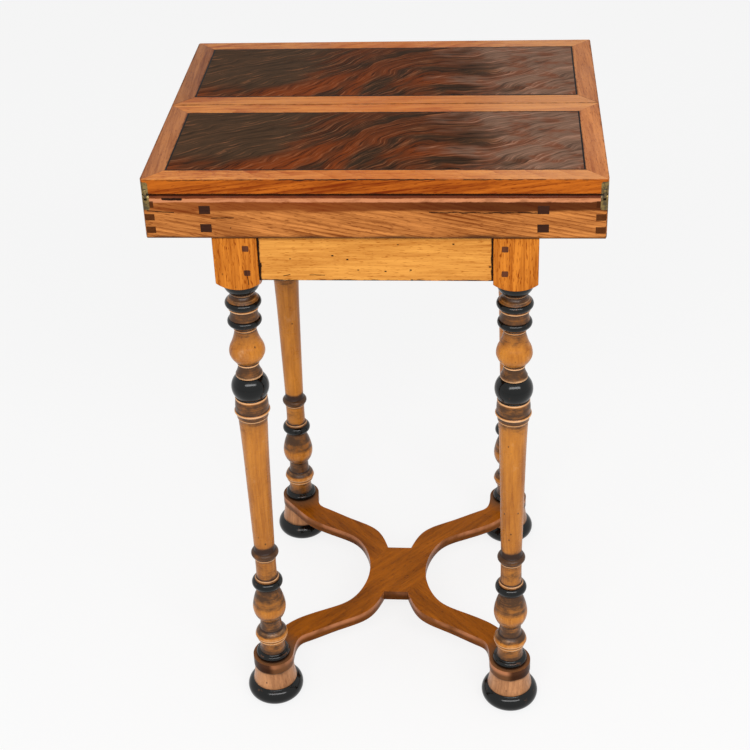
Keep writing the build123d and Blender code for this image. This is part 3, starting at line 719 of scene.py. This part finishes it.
def turned_wood(name, colours, light, dark):
    """Turned wood with its grain upwards, old stain with painted shade in its hollows and at the vases' ends,
    and crests rubbed pale, partly as a painted highlight.

    The mark relief tells crests from hollows and the mark arris tells sharp corners; sharp hollows get dirt
    with painted shade. Where the mark stain is deepest nothing is rubbed pale."""
    material, nodes, shader = new_material(name)
    spot = nodes.where()
    figure = nodes.group(
        "Wood grain", Vector=turn_about(nodes, spot, ALONG["z"]), Light=light, Dark=dark, Ring=0.004,
        Wander=0.02, Rings=0.35, Blotches=1.2, Fibres=0.4, Pores=0.2, Holes=0.8,
    )
    stain, relief, arris = map(nodes.mark, ("stain", "relief", "arris"))
    cloud = nodes.noise(spot * (60, 60, 110), 5, 0.7)
    patch = nodes.noise(spot * (55, 55, 40), 4, 0.65) - 0.5
    turning = nodes.noise(spot * (12, 12, 950), 2, 0.6)
    uneven = (cloud - 0.5) * 2.6 + (turning - 0.5) * 0.9
    # Hollows take more of the stain colour: old stain with painted shade.
    depth = relief * -0.35 + stain + uneven * stain.step(0, 0.4, 0.4, 1)
    base = nodes.mix(stain.step(0.05, 0.8, 0, 0.75), figure["Color"], colours.browned)
    base = nodes.mix(depth.step(0.2, 1.1, 0, 0.9), base, colours.stain)
    bare = stain.step(0.9, 1.15, 1, 0)
    # Crests rubbed pale; where the stain table runs below nought this is a painted highlight.
    crest = patch * 2.4 + relief - stain
    base = nodes.mix(crest.step(0.15, 1.0, 0, 0.8) * bare, base, colours.rubbed_and_highlight)
    sharp = patch * 1.2 + arris
    base = nodes.mix(sharp.step(0.25, 0.9, 0, 0.9) * bare, base, colours.rubbed_and_highlight)
    # Sharp hollows darkened: dirt with painted shade.
    base = nodes.mix(arris.step(-0.25, -0.9, 0, 0.85), base, colours.dirt)
    # The group's occlusion paints shade under the rings and in the hollows.
    base = nodes.mix(nodes.group("Old dirt", Edges=0.0)["Mask"], base, colours.dirt)
    polish(nodes, shader, base, cloud.step(0.3, 0.7, 0.24, 0.40), figure["Height"], 0.3, 0.26)
    return material


def ebonised(name, colours):
    """Black polish that is worn through to brown on a few crests."""
    material, nodes, shader = new_material(name)
    spot = nodes.where()
    cloud = nodes.noise(spot * (80, 80, 130), 4, 0.68)
    rubbed = nodes.mark("arris") * 0.10 + (nodes.mark("relief") * 0.03 + cloud)
    base = nodes.mix(rubbed.step(0.66, 0.80, 0, 0.7), colours.black, colours.black_worn)
    fine = nodes.noise(spot * (300, 300, 900), 2, 0.5)
    polish(nodes, shader, base, cloud.step(0.3, 0.75, 0.10, 0.20), fine, 0.012, 0.28)
    return material


def veneer(name, colours, centre):
    """Figured veneer, the same in both leaves as leaves cut from one flitch are.

    Its streaks are lines of equal phi = y + 2.5 y y - 0.5 x - 0.05 tanh((x + 0.03) / 0.05)
    + 0.018 tanh((x - 0.07) / 0.04): steep arcs left of the middle, nearly level right of it, and
    flatter towards the back. Slow noise makes them wander. The sheet is dark at the left with a
    painted reflection haze towards its back, red in the middle, and pale and grey at the right under
    a painted reflection haze."""
    material, nodes, shader = new_material(name)
    dark, streak, haze_colour = colours.veneer_dark, colours.veneer_streak, colours.veneer_haze
    spot = nodes.where()
    local = spot - centre
    x, y, _ = local.parts()

    def bend(at, width, height):
        return ((x - at) / width).apply("TANH") * height

    rise = x * 0.5 + (bend(-0.03, 0.05, 0.05) + bend(0.07, 0.04, -0.018))
    slow = nodes.noise(local * (11, 16, 0), 2, 0.5)
    quick = nodes.noise(local * (40, 60, 0), 2, 0.5)
    wobble = (slow - 0.5) * 0.055 + (quick - 0.5) * 0.003
    phi = y * (y * 2.5 + 1.0) - rise + wobble
    along = x * 0.8 + y * 0.6

    def lines(phi_scale, along_scale):
        plane = nodes.value("ShaderNodeCombineXYZ", 0, {"X": along * along_scale, "Y": phi * phi_scale})
        return nodes.noise(plane, 3.0, 0.6)

    streaks, thin, fibres, broad = lines(85, 8), lines(280, 16), lines(900, 60), lines(20, 8)
    spread = broad - 0.5
    patches = nodes.noise(local * (22, 34, 0), 3, 0.6)
    # Painted reflection haze, pale and grey, over the right part of the sheet.
    right_haze = (spread * 0.35 + x).step(0.06, 0.15, 0, 0.95)
    # Painted reflection haze, lighter, at the left towards the back; it also mutes the red and the streaks.
    dull = (spread * 0.2 + x).step(-0.05, -0.12) * y.step(-0.065, -0.03, 0.1, 1.0)
    low = (spread * 0.08 + y).step(0.06, -0.05, 0.45, 1.0)
    red = broad.step(0.36, 0.60) * low * (1 - dull.most(right_haze))
    base = nodes.mix(dull, dark, times(dark, 1.75))
    base = nodes.mix(red, base, colours.veneer_red)
    pale_end = nodes.mix(patches.step(0.45, 0.62), haze_colour, times(colours.veneer_red, 0.9))
    base = nodes.mix(right_haze, base, nodes.mix(0.6, haze_colour, pale_end))
    light = nodes.mix(right_haze, streak, times(haze_colour, 2.2))
    deep = nodes.mix(right_haze, times(dark, 0.35), times(haze_colour, 0.36))
    relief = (fibres - 0.5) * 1.5 + ((streaks - 0.5) * 1.5 + (thin - 0.5) * 2.4)
    base = nodes.mix(relief.step(0.0, -0.55, 0, 0.85) * dull.step(0, 1, 1, 0.7), base, deep)
    base = nodes.mix(relief.step(0.05, 0.75, 0, 0.7) * dull.step(0, 1, 1, 0.4), base, light)
    pale = thin.step(0.56, 0.70) * patches.step(0.48, 0.62, 0.0, 0.85)
    base = nodes.mix(pale, base, light)
    smudge = nodes.noise(spot * 12, 4, 0.6)
    polish(nodes, shader, base, smudge.step(0.3, 0.7, 0.20, 0.34), streaks, 0.05, 0.006)
    return material


def cloth(name, shade):
    """Woven or felted wool."""
    material, nodes, shader = new_material(name)
    spot = nodes.where()
    nap = nodes.noise(spot * 1400, 2, 0.6)
    cloud = nodes.noise(spot * 14, 4, 0.6)
    base = nodes.mix(cloud.step(0.3, 0.7, 0, 0.35), shade, times(shade, 0.5))
    base = nodes.mix(nap * 0.3, base, times(shade, 1.8))
    nodes.fill(shader, {"Base Color": base, "Roughness": 0.95, "Sheen Weight": 0.1,
                        "Normal": nodes.bump(nap, 0.4, 0.0005)})
    return material


def metal(name, bright, dull, rough):
    """Old metal with tarnish in patches, and dirt with painted shade in its corners."""
    material, nodes, shader = new_material(name)
    cloud = nodes.noise(nodes.where() * 170, 4, 0.68)
    dirt_shade_mask = nodes.group("Old dirt", Edges=0.0, Joints=0.8)["Mask"]
    patchy = (cloud.step(0.40, 0.62, 0.05, 0.85) + dirt_shade_mask).clamped()
    nodes.fill(shader, {
        "Base Color": nodes.mix(patchy, bright, dull), "Metallic": patchy.step(0.3, 1.0, 1.0, 0.4),
        "Roughness": cloud.step(0.35, 0.65, rough, rough + 0.25), "Normal": nodes.bump(cloud, 0.2, 0.0003),
    })
    return material


def bands_of_front(nodes, base, tone):
    """The dark band under the box's rim, a painted highlight along its rounding, painted shadow with dirt
    where the leaf closes on the rim, the darker lower edge and the cracks.

    The paler lines of the band are its own colour with some of the boards' two colours."""
    _, colours, _ = settings()
    spot = nodes.where()
    x, _, z = spot.parts()
    slow = nodes.noise(spot * (14, 14, 60), 3, 0.55) - 0.5
    parts = zip(colours.box_band, colours.box_dark, colours.box_light)
    pale = tuple(0.45 * a + 0.40 * b + 0.15 * c for a, b, c in parts)
    band = nodes.mix((tone * 0.9 + 0.1).clamped(), pale, colours.box_band)
    band = nodes.mix(x.step(-0.08, 0.13, 0.0, 0.80), band, times(colours.box_band, 0.25))
    share = (slow * 0.016 + z).step(*BAND_FOOT) * x.step(-0.235, -0.15, 0.6, 0.95)
    base = nodes.mix(share, base, band)
    ragged = nodes.noise(spot * (60, 60, 200), 4, 0.65)
    level = (ragged - 0.5) * 0.003 + z
    highlight_line = level.step(*HIGHLIGHT_FOOT) * level.step(*HIGHLIGHT_TOP)
    # Painted highlight along the rounding of the rim.
    base = nodes.mix(highlight_line * ragged.step(0.35, 0.55, 0.6, 1.0), base, colours.rim_highlight)
    # Painted shadow with dirt where the leaf closes on the rim.
    base = nodes.mix(level.step(*SHADE_AND_DIRT_BELOW_RIM, 0, 0.85), base, times(colours.box_band, 0.7))
    base = nodes.mix(level.step(*SHADE_AND_DIRT_AT_RIM, 0, 0.85), base, times(colours.box_band, 0.25))
    base = nodes.mix((slow * 0.012 + z).step(*LOW_EDGE, 0, 0.8), base, times(colours.dirt, 1.6))
    return scars(nodes, base, BOX_SCARS)


def worn_rail(nodes, base, tone):
    """A rail that is paler towards its right end and deeper in its middle."""
    _, colours, _ = settings()
    x = nodes.where().parts()[0]
    base = nodes.mix(x.step(0.02, 0.20, 0, 0.40), base, colours.rail_faded)
    return nodes.mix(abs(x).step(0.15, 0.02, 0, 0.45), base, colours.rail_deep)


def edge_of_leaf(nodes, base, tone):
    """The deeper colour of a leaf's outer edge."""
    _, colours, _ = settings()
    base = worn_rail(nodes, base, tone)
    front = abs(nodes.where("Normal").parts()[1])
    return nodes.mix(front.step(0.35, 0.8), base, nodes.mix(tone, colours.edge_light, colours.edge_dark))


def cracked_edge(nodes, base, tone):
    """The front leaf's outer edge, with the cracks along its arris."""
    return scars(nodes, edge_of_leaf(nodes, base, tone), LEAF_SCARS)


def marks_of_apron(nodes, base, tone):
    """Dark joints at the leg blocks with the blocks' painted shadow, a dark lower edge, a knot and gouges on
    the front apron.
    """
    return scars(nodes, base, APRON_SCARS)


def marks_of_block(nodes, base, tone):
    """The split under the lower peg of the left front block."""
    return scars(nodes, base, BLOCK_SCARS)


def stretcher_shade_and_wear(nodes, base, tone):
    """Sides darker in painted shade, dark ends round the legs, and a paler band along the upper edges, worn
    and painted as a highlight.
    """
    _, colours, _ = settings()
    spot = nodes.where()
    up = abs(nodes.where("Normal").parts()[2])
    # Painted shade: faces that turn away from upright are darker than the top, as the light falls.
    base = nodes.mix(up.step(0.45, 0.1, 0, 0.5), base, colours.dirt)
    x, y = leg_axis("rear_right")
    ends = [(right * x / MM, back * y / MM, 62) for right in (-1, 1) for back in (-1, 1)]
    base = scars(nodes, base, [(end, end, 42, 8) for end in ends], colours.stretcher_end)
    patch = nodes.noise(spot * 22, 3, 0.6)
    # Wear with a painted highlight along the bevelled upper edges.
    rubbed_and_highlight = spot.parts()[2].step(0.053, 0.059, 0, 0.8) * up.step(0.99, 0.85)
    return nodes.mix(rubbed_and_highlight * patch.step(0.35, 0.6, 0.15, 0.8), base, colours.stretcher_edge_wear_and_highlight)


# Pieces


def leg_axis(corner):
    """Place of a leg's axis on the floor."""
    spot = middle("leg_" + corner)
    return spot.x, spot.y


def add_turning(label, corner, runs, base, foot_share, height, radius, stain, finishes, *nodes):
    """Make the wooden bands and the black bands of a turning, each a set of closed solids.

    The mark relief is the radius less its mean within 4 mm along the axis, over 2 mm, so crests
    have a positive relief and hollows a negative one. The mark arris is the same with the mean
    within 1.75 mm, over 0.3 mm."""
    sides = settings()[0].sides
    every = turned_bands(runs, base, radius * foot_share, height, radius)
    profile = np.concatenate([points for _, points in every])
    sample = 0.25 * MM
    rise = np.arange(base, base + height, sample)
    reach = np.interp(rise, profile[:, 1], profile[:, 0])

    def standing_out(within, over):
        count = round(within / sample)
        window = np.full(2 * count + 1, 1 / (2 * count + 1))
        return (reach - np.convolve(np.pad(reach, count, "edge"), window, "valid")) / over

    relief, arris = standing_out(4 * MM, 2 * MM), standing_out(1.75 * MM, 0.3 * MM)
    for finish, slot in (("wood", "turned_wood"), ("black", "ebonised_wood")):
        surfaces = [capped(lathe(points, sides, leg_axis(corner))) for f, points in every if f == finish]
        heights = np.concatenate([points[:, 2] for points, _ in surfaces])
        marks = {"stain": np.interp((heights - base) / MM, *zip(*stain)),
                 "relief": np.interp(heights, rise, relief), "arris": np.interp(heights, rise, arris)}
        piece = add_surface(f"{label}_{corner}_{finish}", surfaces, marks)
        place(piece, BASE, slot, finishes[finish], *nodes)


def peg_surface(centre, outward, shape):
    """A square peg along an outward direction, with a head like a small cushion.

    Its rings are squares with rounded corners, |a|^8 + |b|^8 = 1, which shrink over the head."""
    turn = np.linspace(0, 2 * math.pi, 48, endpoint=False)
    ring = np.stack((np.cos(turn), np.sin(turn)), 1)
    ring /= (np.abs(ring) ** 8).sum(1, keepdims=True) ** (1 / 8)
    normal = np.array(outward, float)
    side = np.cross((0, 0, 1), normal)
    size = np.array((1, 1, 0.97, 0.88, 0.65, 0.3)) * shape.peg_half
    out = np.array((-shape.peg_length, 0, 0.55 * shape.peg_proud, 0.85 * shape.peg_proud,
                    shape.peg_proud, 1.05 * shape.peg_proud))
    across = ring[None, :, :1] * side + ring[None, :, 1:] * np.array((0, 0, 1))
    return capped(np.array(centre) + across * size[:, None, None] + normal * out[:, None, None])


def block_surface(centre, low, high, shape, width):
    """The square block of a leg, with its lower end turned to a pommel.

    Each level is a square with rounded corners, a point of it being drawn in to the pommel's
    radius where it lies outside: r = -k log(exp(-s / k) + exp(-p / k)), a soft least of the
    square's reach s and the pommel's radius p."""
    half = width / 2
    turn = np.linspace(0, 2 * math.pi, 240, endpoint=False) + math.pi / 240
    reach = half - shape.block_round
    square = np.stack((np.cos(turn), np.sin(turn)), 1)
    spread = square / np.abs(square).max(1, keepdims=True) * half
    inner = np.clip(spread, -reach, reach)
    outward = spread - inner
    outward /= np.maximum(np.linalg.norm(outward, axis=1, keepdims=True), 1e-9)
    corner = (np.abs(spread) > reach).all(1, keepdims=True)
    outline = np.where(corner, inner + outward * shape.block_round, spread)
    small, large, rise = shape.pommel_low_radius, shape.pommel_high_radius, shape.pommel_height
    swell = ((small + large) / 2 + shape.pommel_swell, low + rise / 2)
    arc = curve_through((small, low), swell, (large, low + rise), 40)
    straight = np.linspace(low + rise, high, 20)[1:]
    levels = np.concatenate((arc[:, 1], straight))
    limit = np.concatenate((arc[:, 0], np.full(len(straight), 2 * half)))
    soft = 0.25 * MM
    reach_out = np.linalg.norm(outline, axis=1)
    least = -soft * np.logaddexp(-reach_out[None] / soft, -limit[:, None] / soft)
    points = outline[None] / reach_out[None, :, None] * least[:, :, None]
    heights = np.broadcast_to(levels[:, None, None], (*least.shape, 1))
    return capped(np.concatenate((points + np.array(centre), heights), 2))


class CARDTABLE_OT_legs(bpy.types.Operator):
    """Make the turned legs with their blocks and black rings"""

    bl_idname = "card_table.legs"
    bl_label = "Legs"

    def execute(self, context):
        shape, colours, _ = settings()
        turned = turned_wood("turned_wood_finish", colours, colours.turned_light, colours.turned_dark)
        finishes = {"wood": turned, "black": ebonised("ebonised_finish", colours)}
        timber = wood("block_finish", colours.block_light, colours.block_dark, "z", over=marks_of_block,
                      rough=0.26, edges=0.35, Ring=0.0045, Wander=0.010, Rings=0.45, Blotches=0.6,
                      Pores=0.8, Fibres=0.7, Holes=0.5)
        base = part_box("stretcher_main")[1].z
        for corner in CORNERS:
            node = "leg_" + corner
            low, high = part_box(node)
            block_low = high.z - shape.block_height
            add_turning("leg", corner, TURNING, base, TURNING_FOOT_SHARE, block_low - base,
                        shape.turning_radius, LEG_STAIN_AND_SHADING, finishes)
            surface = block_surface(leg_axis(corner), block_low, high.z, shape, high.x - low.x)
            place(add_surface(f"leg_{corner}_block", [surface]), BASE, "turned_wood", timber, node)
        return {"FINISHED"}


class CARDTABLE_OT_pegs(bpy.types.Operator):
    """Make the pegs that pin the aprons' tenons"""

    bl_idname = "card_table.pegs"
    bl_label = "Pegs"

    def execute(self, context):
        shape, colours, _ = settings()
        surfaces = []
        for corner in CORNERS:
            low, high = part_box("leg_" + corner)
            x, y = leg_axis(corner)
            right, back = math.copysign(1, x), math.copysign(1, y)
            half = (high.x - low.x) / 2
            inset = half - shape.peg_in
            for drop in (0, shape.peg_spacing):
                z = high.z - shape.peg_down - drop
                surfaces.append(peg_surface((x - right * inset, y + back * half, z), (0, back, 0), shape))
                surfaces.append(peg_surface((x + right * half, y - back * inset, z), (right, 0, 0), shape))
        timber = wood("peg_finish", colours.peg_light, colours.peg_dark, "z", edges=0.0, Rings=0.2,
                      Fibres=1.0)
        place(add_surface("apron_peg_heads", surfaces), BASE, "peg_wood", timber, "apron_pegs")
        return {"FINISHED"}


class CARDTABLE_OT_feet(bpy.types.Operator):
    """Make the bun feet"""

    bl_idname = "card_table.feet"
    bl_label = "Feet"

    def execute(self, context):
        _, colours, _ = settings()
        turned = turned_wood("foot_wood_finish", colours, colours.foot_light, colours.foot_dark)
        finishes = {"wood": turned, "black": ebonised("foot_black_finish", colours)}
        for corner in CORNERS:
            node = "foot_" + corner
            low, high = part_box(node)
            add_turning("foot", corner, FOOT, low.z, FOOT_BASE_SHARE, high.z - low.z,
                        (high.x - low.x) / 2, FOOT_STAIN, finishes, node)
        return {"FINISHED"}


class CARDTABLE_OT_stretcher(bpy.types.Operator):
    """Finish the two curved arms of the stretcher"""

    bl_idname = "card_table.stretcher"
    bl_label = "Stretcher"

    def execute(self, context):
        shape, colours, _ = settings()
        for name, angle in (("stretcher_main", 48), ("stretcher_cross", -48)):
            timber = wood(name + "_finish", colours.stretcher_light, colours.stretcher_dark, "x",
                          turn=(0, 0, angle), over=stretcher_shade_and_wear, rough=0.28, Ring=0.007, Wander=0.02,
                          Rings=0.3, Blotches=0.9, Fibres=0.45, Pores=0.4, Holes=0.5)
            finish_node(name, timber, shape.stretcher_round)
        return {"FINISHED"}


class CARDTABLE_OT_aprons(bpy.types.Operator):
    """Finish the aprons and the cleats that hold the box"""

    bl_idname = "card_table.aprons"
    bl_label = "Aprons"

    def execute(self, context):
        shape, colours, _ = settings()
        for side, along in (("front", "x"), ("rear", "x"), ("left", "y"), ("right", "y")):
            name = "apron_" + side
            timber = wood(name + "_finish", colours.apron_light, colours.apron_dark, along, name,
                          offset=(0.3, 0, 0.1), over=marks_of_apron, rough=0.27, edges=0.8, Ring=0.006,
                          Wander=0.014, Rings=0.3, Blotches=0.6, Pores=0.7, Fibres=0.6, Holes=1.0)
            finish_node(name, timber, shape.joinery_round)
        finish_node("frame_cleats", bpy.data.materials["apron_rear_finish"], shape.joinery_round)
        finish_node("frame_cleat_screws", metal("cleat_screw_finish", colours.steel, colours.tarnish, 0.4))
        return {"FINISHED"}


class CARDTABLE_OT_box(bpy.types.Operator):
    """Finish the jointed box, its dividers and its linings"""

    bl_idname = "card_table.box"
    bl_label = "Box"

    def execute(self, context):
        shape, colours, _ = settings()
        boards = (("box_front", "x", (0, 11, 0), (0, 0, 0)),
                  ("box_rear", "x", (0, 11, 0), (0.2, 0.1, 0)),
                  ("box_end_left", "y", (6, 0, 0), (0, 0.1, 0)),
                  ("box_end_right", "y", (6, 0, 0), (0.3, 0, 0.1)))
        for name, along, turn, offset in boards:
            timber = wood(name + "_finish", colours.box_light, colours.box_dark, along, None, turn, offset,
                          bands_of_front, Ring=0.0045, Wander=0.014, Rings=0.75, Blotches=0.6, Fibres=0.7)
            finish_node(name, timber, shape.joinery_round)
        inner = wood("divider_finish", colours.end_grain, times(colours.end_grain, 0.5))
        bottom = wood("bottom_finish", colours.apron_light, colours.apron_dark)
        for name, timber in (("divider_left", inner), ("divider_right", inner), ("box_bottom", bottom)):
            finish_node(name, timber, shape.joinery_round)
        finish_node("compartment_linings", cloth("felt_finish", colours.felt))
        return {"FINISHED"}


class CARDTABLE_OT_leaves(bpy.types.Operator):
    """Finish the two leaves: frames, veneered panels, stringing and baize"""

    bl_idname = "card_table.leaves"
    bl_label = "Leaves"

    def execute(self, context):
        shape, colours, _ = settings()
        baize = cloth("baize_finish", colours.baize)
        stringing, nodes, shader = new_material("stringing_finish")
        nodes.fill(shader, {"Base Color": times(colours.black, 0.8), "Roughness": 0.35,
                            "Specular IOR Level": 0.03})
        for end, shift in (("front", 0.0), ("rear", 0.37)):
            for member in LIGHT_AND_SHADE_SHARES:
                self.frame_member(end, member, shift, shape, colours)
            panel = f"{end}_leaf_panel"
            finish_node(panel, veneer(f"{end}_veneer_finish", colours, middle(panel)))
            finish_node(f"{end}_leaf_stringing", stringing)
            finish_node(f"{end}_leaf_baize", baize)
        return {"FINISHED"}

    def frame_member(self, end, member, shift, shape, colours):
        """Finish one rail or stile of a leaf's frame."""
        rail = member.endswith("rail")
        pair = ("rail_light", "rail_dark") if rail else ("stile_light", "stile_dark")
        # A share that paints the member lighter or darker as light falls on it.
        tone = LIGHT_AND_SHADE_SHARES[member][end == "rear"]
        shades = [times(getattr(colours, shade), tone) for shade in pair]
        over = {"inner_rail": worn_rail, "outer_rail": cracked_edge if end == "front" else edge_of_leaf}
        slope = (0, -8, 0) if member == "outer_rail" else (0, 0, 3)
        name = f"{end}_leaf_{member}"
        timber = wood(name + "_finish", *shades, "x" if rail else "y", name, slope, (shift, 0.05, 0),
                      over.get(member), Ring=0.005 if rail else 0.008, Wander=0.012,
                      Rings=0.8 if rail else 0.5, Blotches=0.7, Fibres=0.8)
        finish_node(name, timber, shape.joinery_round)


class CARDTABLE_OT_hinges(bpy.types.Operator):
    """Finish the link hinges, their pins and their screws"""

    bl_idname = "card_table.hinges"
    bl_label = "Hinges"

    def execute(self, context):
        shape, colours, _ = settings()
        brass = metal("brass_finish", colours.brass, colours.tarnish, 0.32)
        steel = metal("screw_finish", colours.steel, colours.tarnish, 0.38)
        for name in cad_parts:
            if name.endswith("_screws") and "hinge" in name:
                finish_node(name, steel)
            elif "hinge" in name or "_link_" in name:
                finish_node(name, brass, 0 if name.endswith("_pins") else shape.metal_round)
        return {"FINISHED"}


class CARDTABLE_OT_stage(bpy.types.Operator):
    """Set up the camera, the lamp, the floor and the white surroundings"""

    bl_idname = "card_table.stage"
    bl_label = "Stage"

    def execute(self, context):
        _, _, stage = settings()
        scene = context.scene
        scene.view_settings.view_transform = "Standard"
        camera = link("camera", bpy.data.cameras.new("camera"))
        camera.data.lens = stage.lens
        camera.data.sensor_width = 36
        camera.data.shift_x, camera.data.shift_y = stage.camera_shift
        pitch, roll, yaw = stage.camera_turn
        turn = (Matrix.Rotation(yaw, 4, "Z") @ Matrix.Rotation(math.pi / 2 - pitch, 4, "X")
                @ Matrix.Rotation(roll, 4, "Z"))
        camera.matrix_world = Matrix.Translation(stage.camera_place) @ turn
        scene.camera = camera
        self.key_lamp(stage)
        self.surroundings(scene, stage)
        self.floor()
        return {"FINISHED"}

    def key_lamp(self, stage):
        """A large softbox that faces the table."""
        light = bpy.data.lights.new("key_lamp", "AREA")
        light.shape = "RECTANGLE"
        light.size, light.size_y = stage.key_size
        light.energy = stage.key
        lamp = link("key_lamp", light)
        lamp.location = stage.key_place
        facing = Vector(stage.key_target) - Vector(stage.key_place)
        lamp.rotation_euler = facing.to_track_quat("-Z", "Y").to_euler()

    def surroundings(self, scene, stage):
        """A plain sky that the camera and reflections see as white."""
        world = bpy.data.worlds.new("surroundings")
        scene.world = world
        world.use_nodes = True
        nodes = Nodes(world.node_tree)
        seen = nodes.ray("Is Camera Ray", "Is Transmission Ray", "Is Glossy Ray")
        nodes.fill(world.node_tree.nodes["Background"],
                   {"Color": (1, 1, 1, 1), "Strength": seen.step(0, 1, stage.sky, 1.0)})

    def floor(self):
        """A wide disc, pale, that the camera sees as nearly white with the object's shadow."""
        angle = np.linspace(0, 2 * math.pi, 96, endpoint=False)
        radii = np.array((0.001, 0.4, 1.2, 4.0, 12.0))[:, None]
        rings = np.stack((radii * np.cos(angle), radii * np.sin(angle), np.zeros((5, 96))), 2)
        mesh = bpy.data.meshes.new("floor")
        mesh.from_pydata(rings.reshape(-1, 3), [], grid_faces(5, 96).tolist() + [list(range(96))])
        material, nodes, shader = new_material("floor_finish")
        nodes.fill(shader, {"Base Color": (0.86, 0.86, 0.86), "Roughness": 1, "Specular IOR Level": 0})
        glow = nodes.value("ShaderNodeEmission", 0, {"Color": (1, 1, 1, 1), "Strength": 1.0})
        seen = nodes.ray("Is Camera Ray", "Is Glossy Ray") * 0.8
        both = nodes.value("ShaderNodeMixShader", 0, {0: seen, 1: Value(nodes, shader.outputs[0]), 2: glow})
        nodes.fill(material.node_tree.nodes["Material Output"], {"Surface": both})
        mesh.materials.append(material)
        floor = link("floor", mesh)


OPERATORS = (
    CARDTABLE_OT_legs, CARDTABLE_OT_pegs, CARDTABLE_OT_feet, CARDTABLE_OT_stretcher, CARDTABLE_OT_aprons,
    CARDTABLE_OT_box, CARDTABLE_OT_leaves, CARDTABLE_OT_hinges, CARDTABLE_OT_stage,
)
PROPERTIES = {
    "card_table_shape": CardTableShape,
    "card_table_colours": CardTableColours,
    "card_table_stage": CardTableStage,
}


class CARDTABLE_PT_panel(bpy.types.Panel):
    """Lists the pieces in the 3D view's sidebar"""

    bl_idname = "CARDTABLE_PT_panel"
    bl_label = "Card Table"
    bl_space_type = "VIEW_3D"
    bl_region_type = "UI"
    bl_category = "Card Table"

    def draw(self, context):
        for operator in OPERATORS:
            self.layout.operator(operator.bl_idname)


def register():
    for name, group in PROPERTIES.items():
        bpy.utils.register_class(group)
        setattr(bpy.types.Scene, name, PointerProperty(type=group))
    for item in (*OPERATORS, CARDTABLE_PT_panel):
        bpy.utils.register_class(item)


def unregister():
    for item in (CARDTABLE_PT_panel, *reversed(OPERATORS)):
        bpy.utils.unregister_class(item)
    for name, group in PROPERTIES.items():
        delattr(bpy.types.Scene, name)
        bpy.utils.unregister_class(group)


def main():
    """Make every piece and the stage."""
    register()
    for operator in OPERATORS:
        group, action = operator.bl_idname.split(".")
        getattr(getattr(bpy.ops, group), action)()


if __name__ == "__main__":
    main()
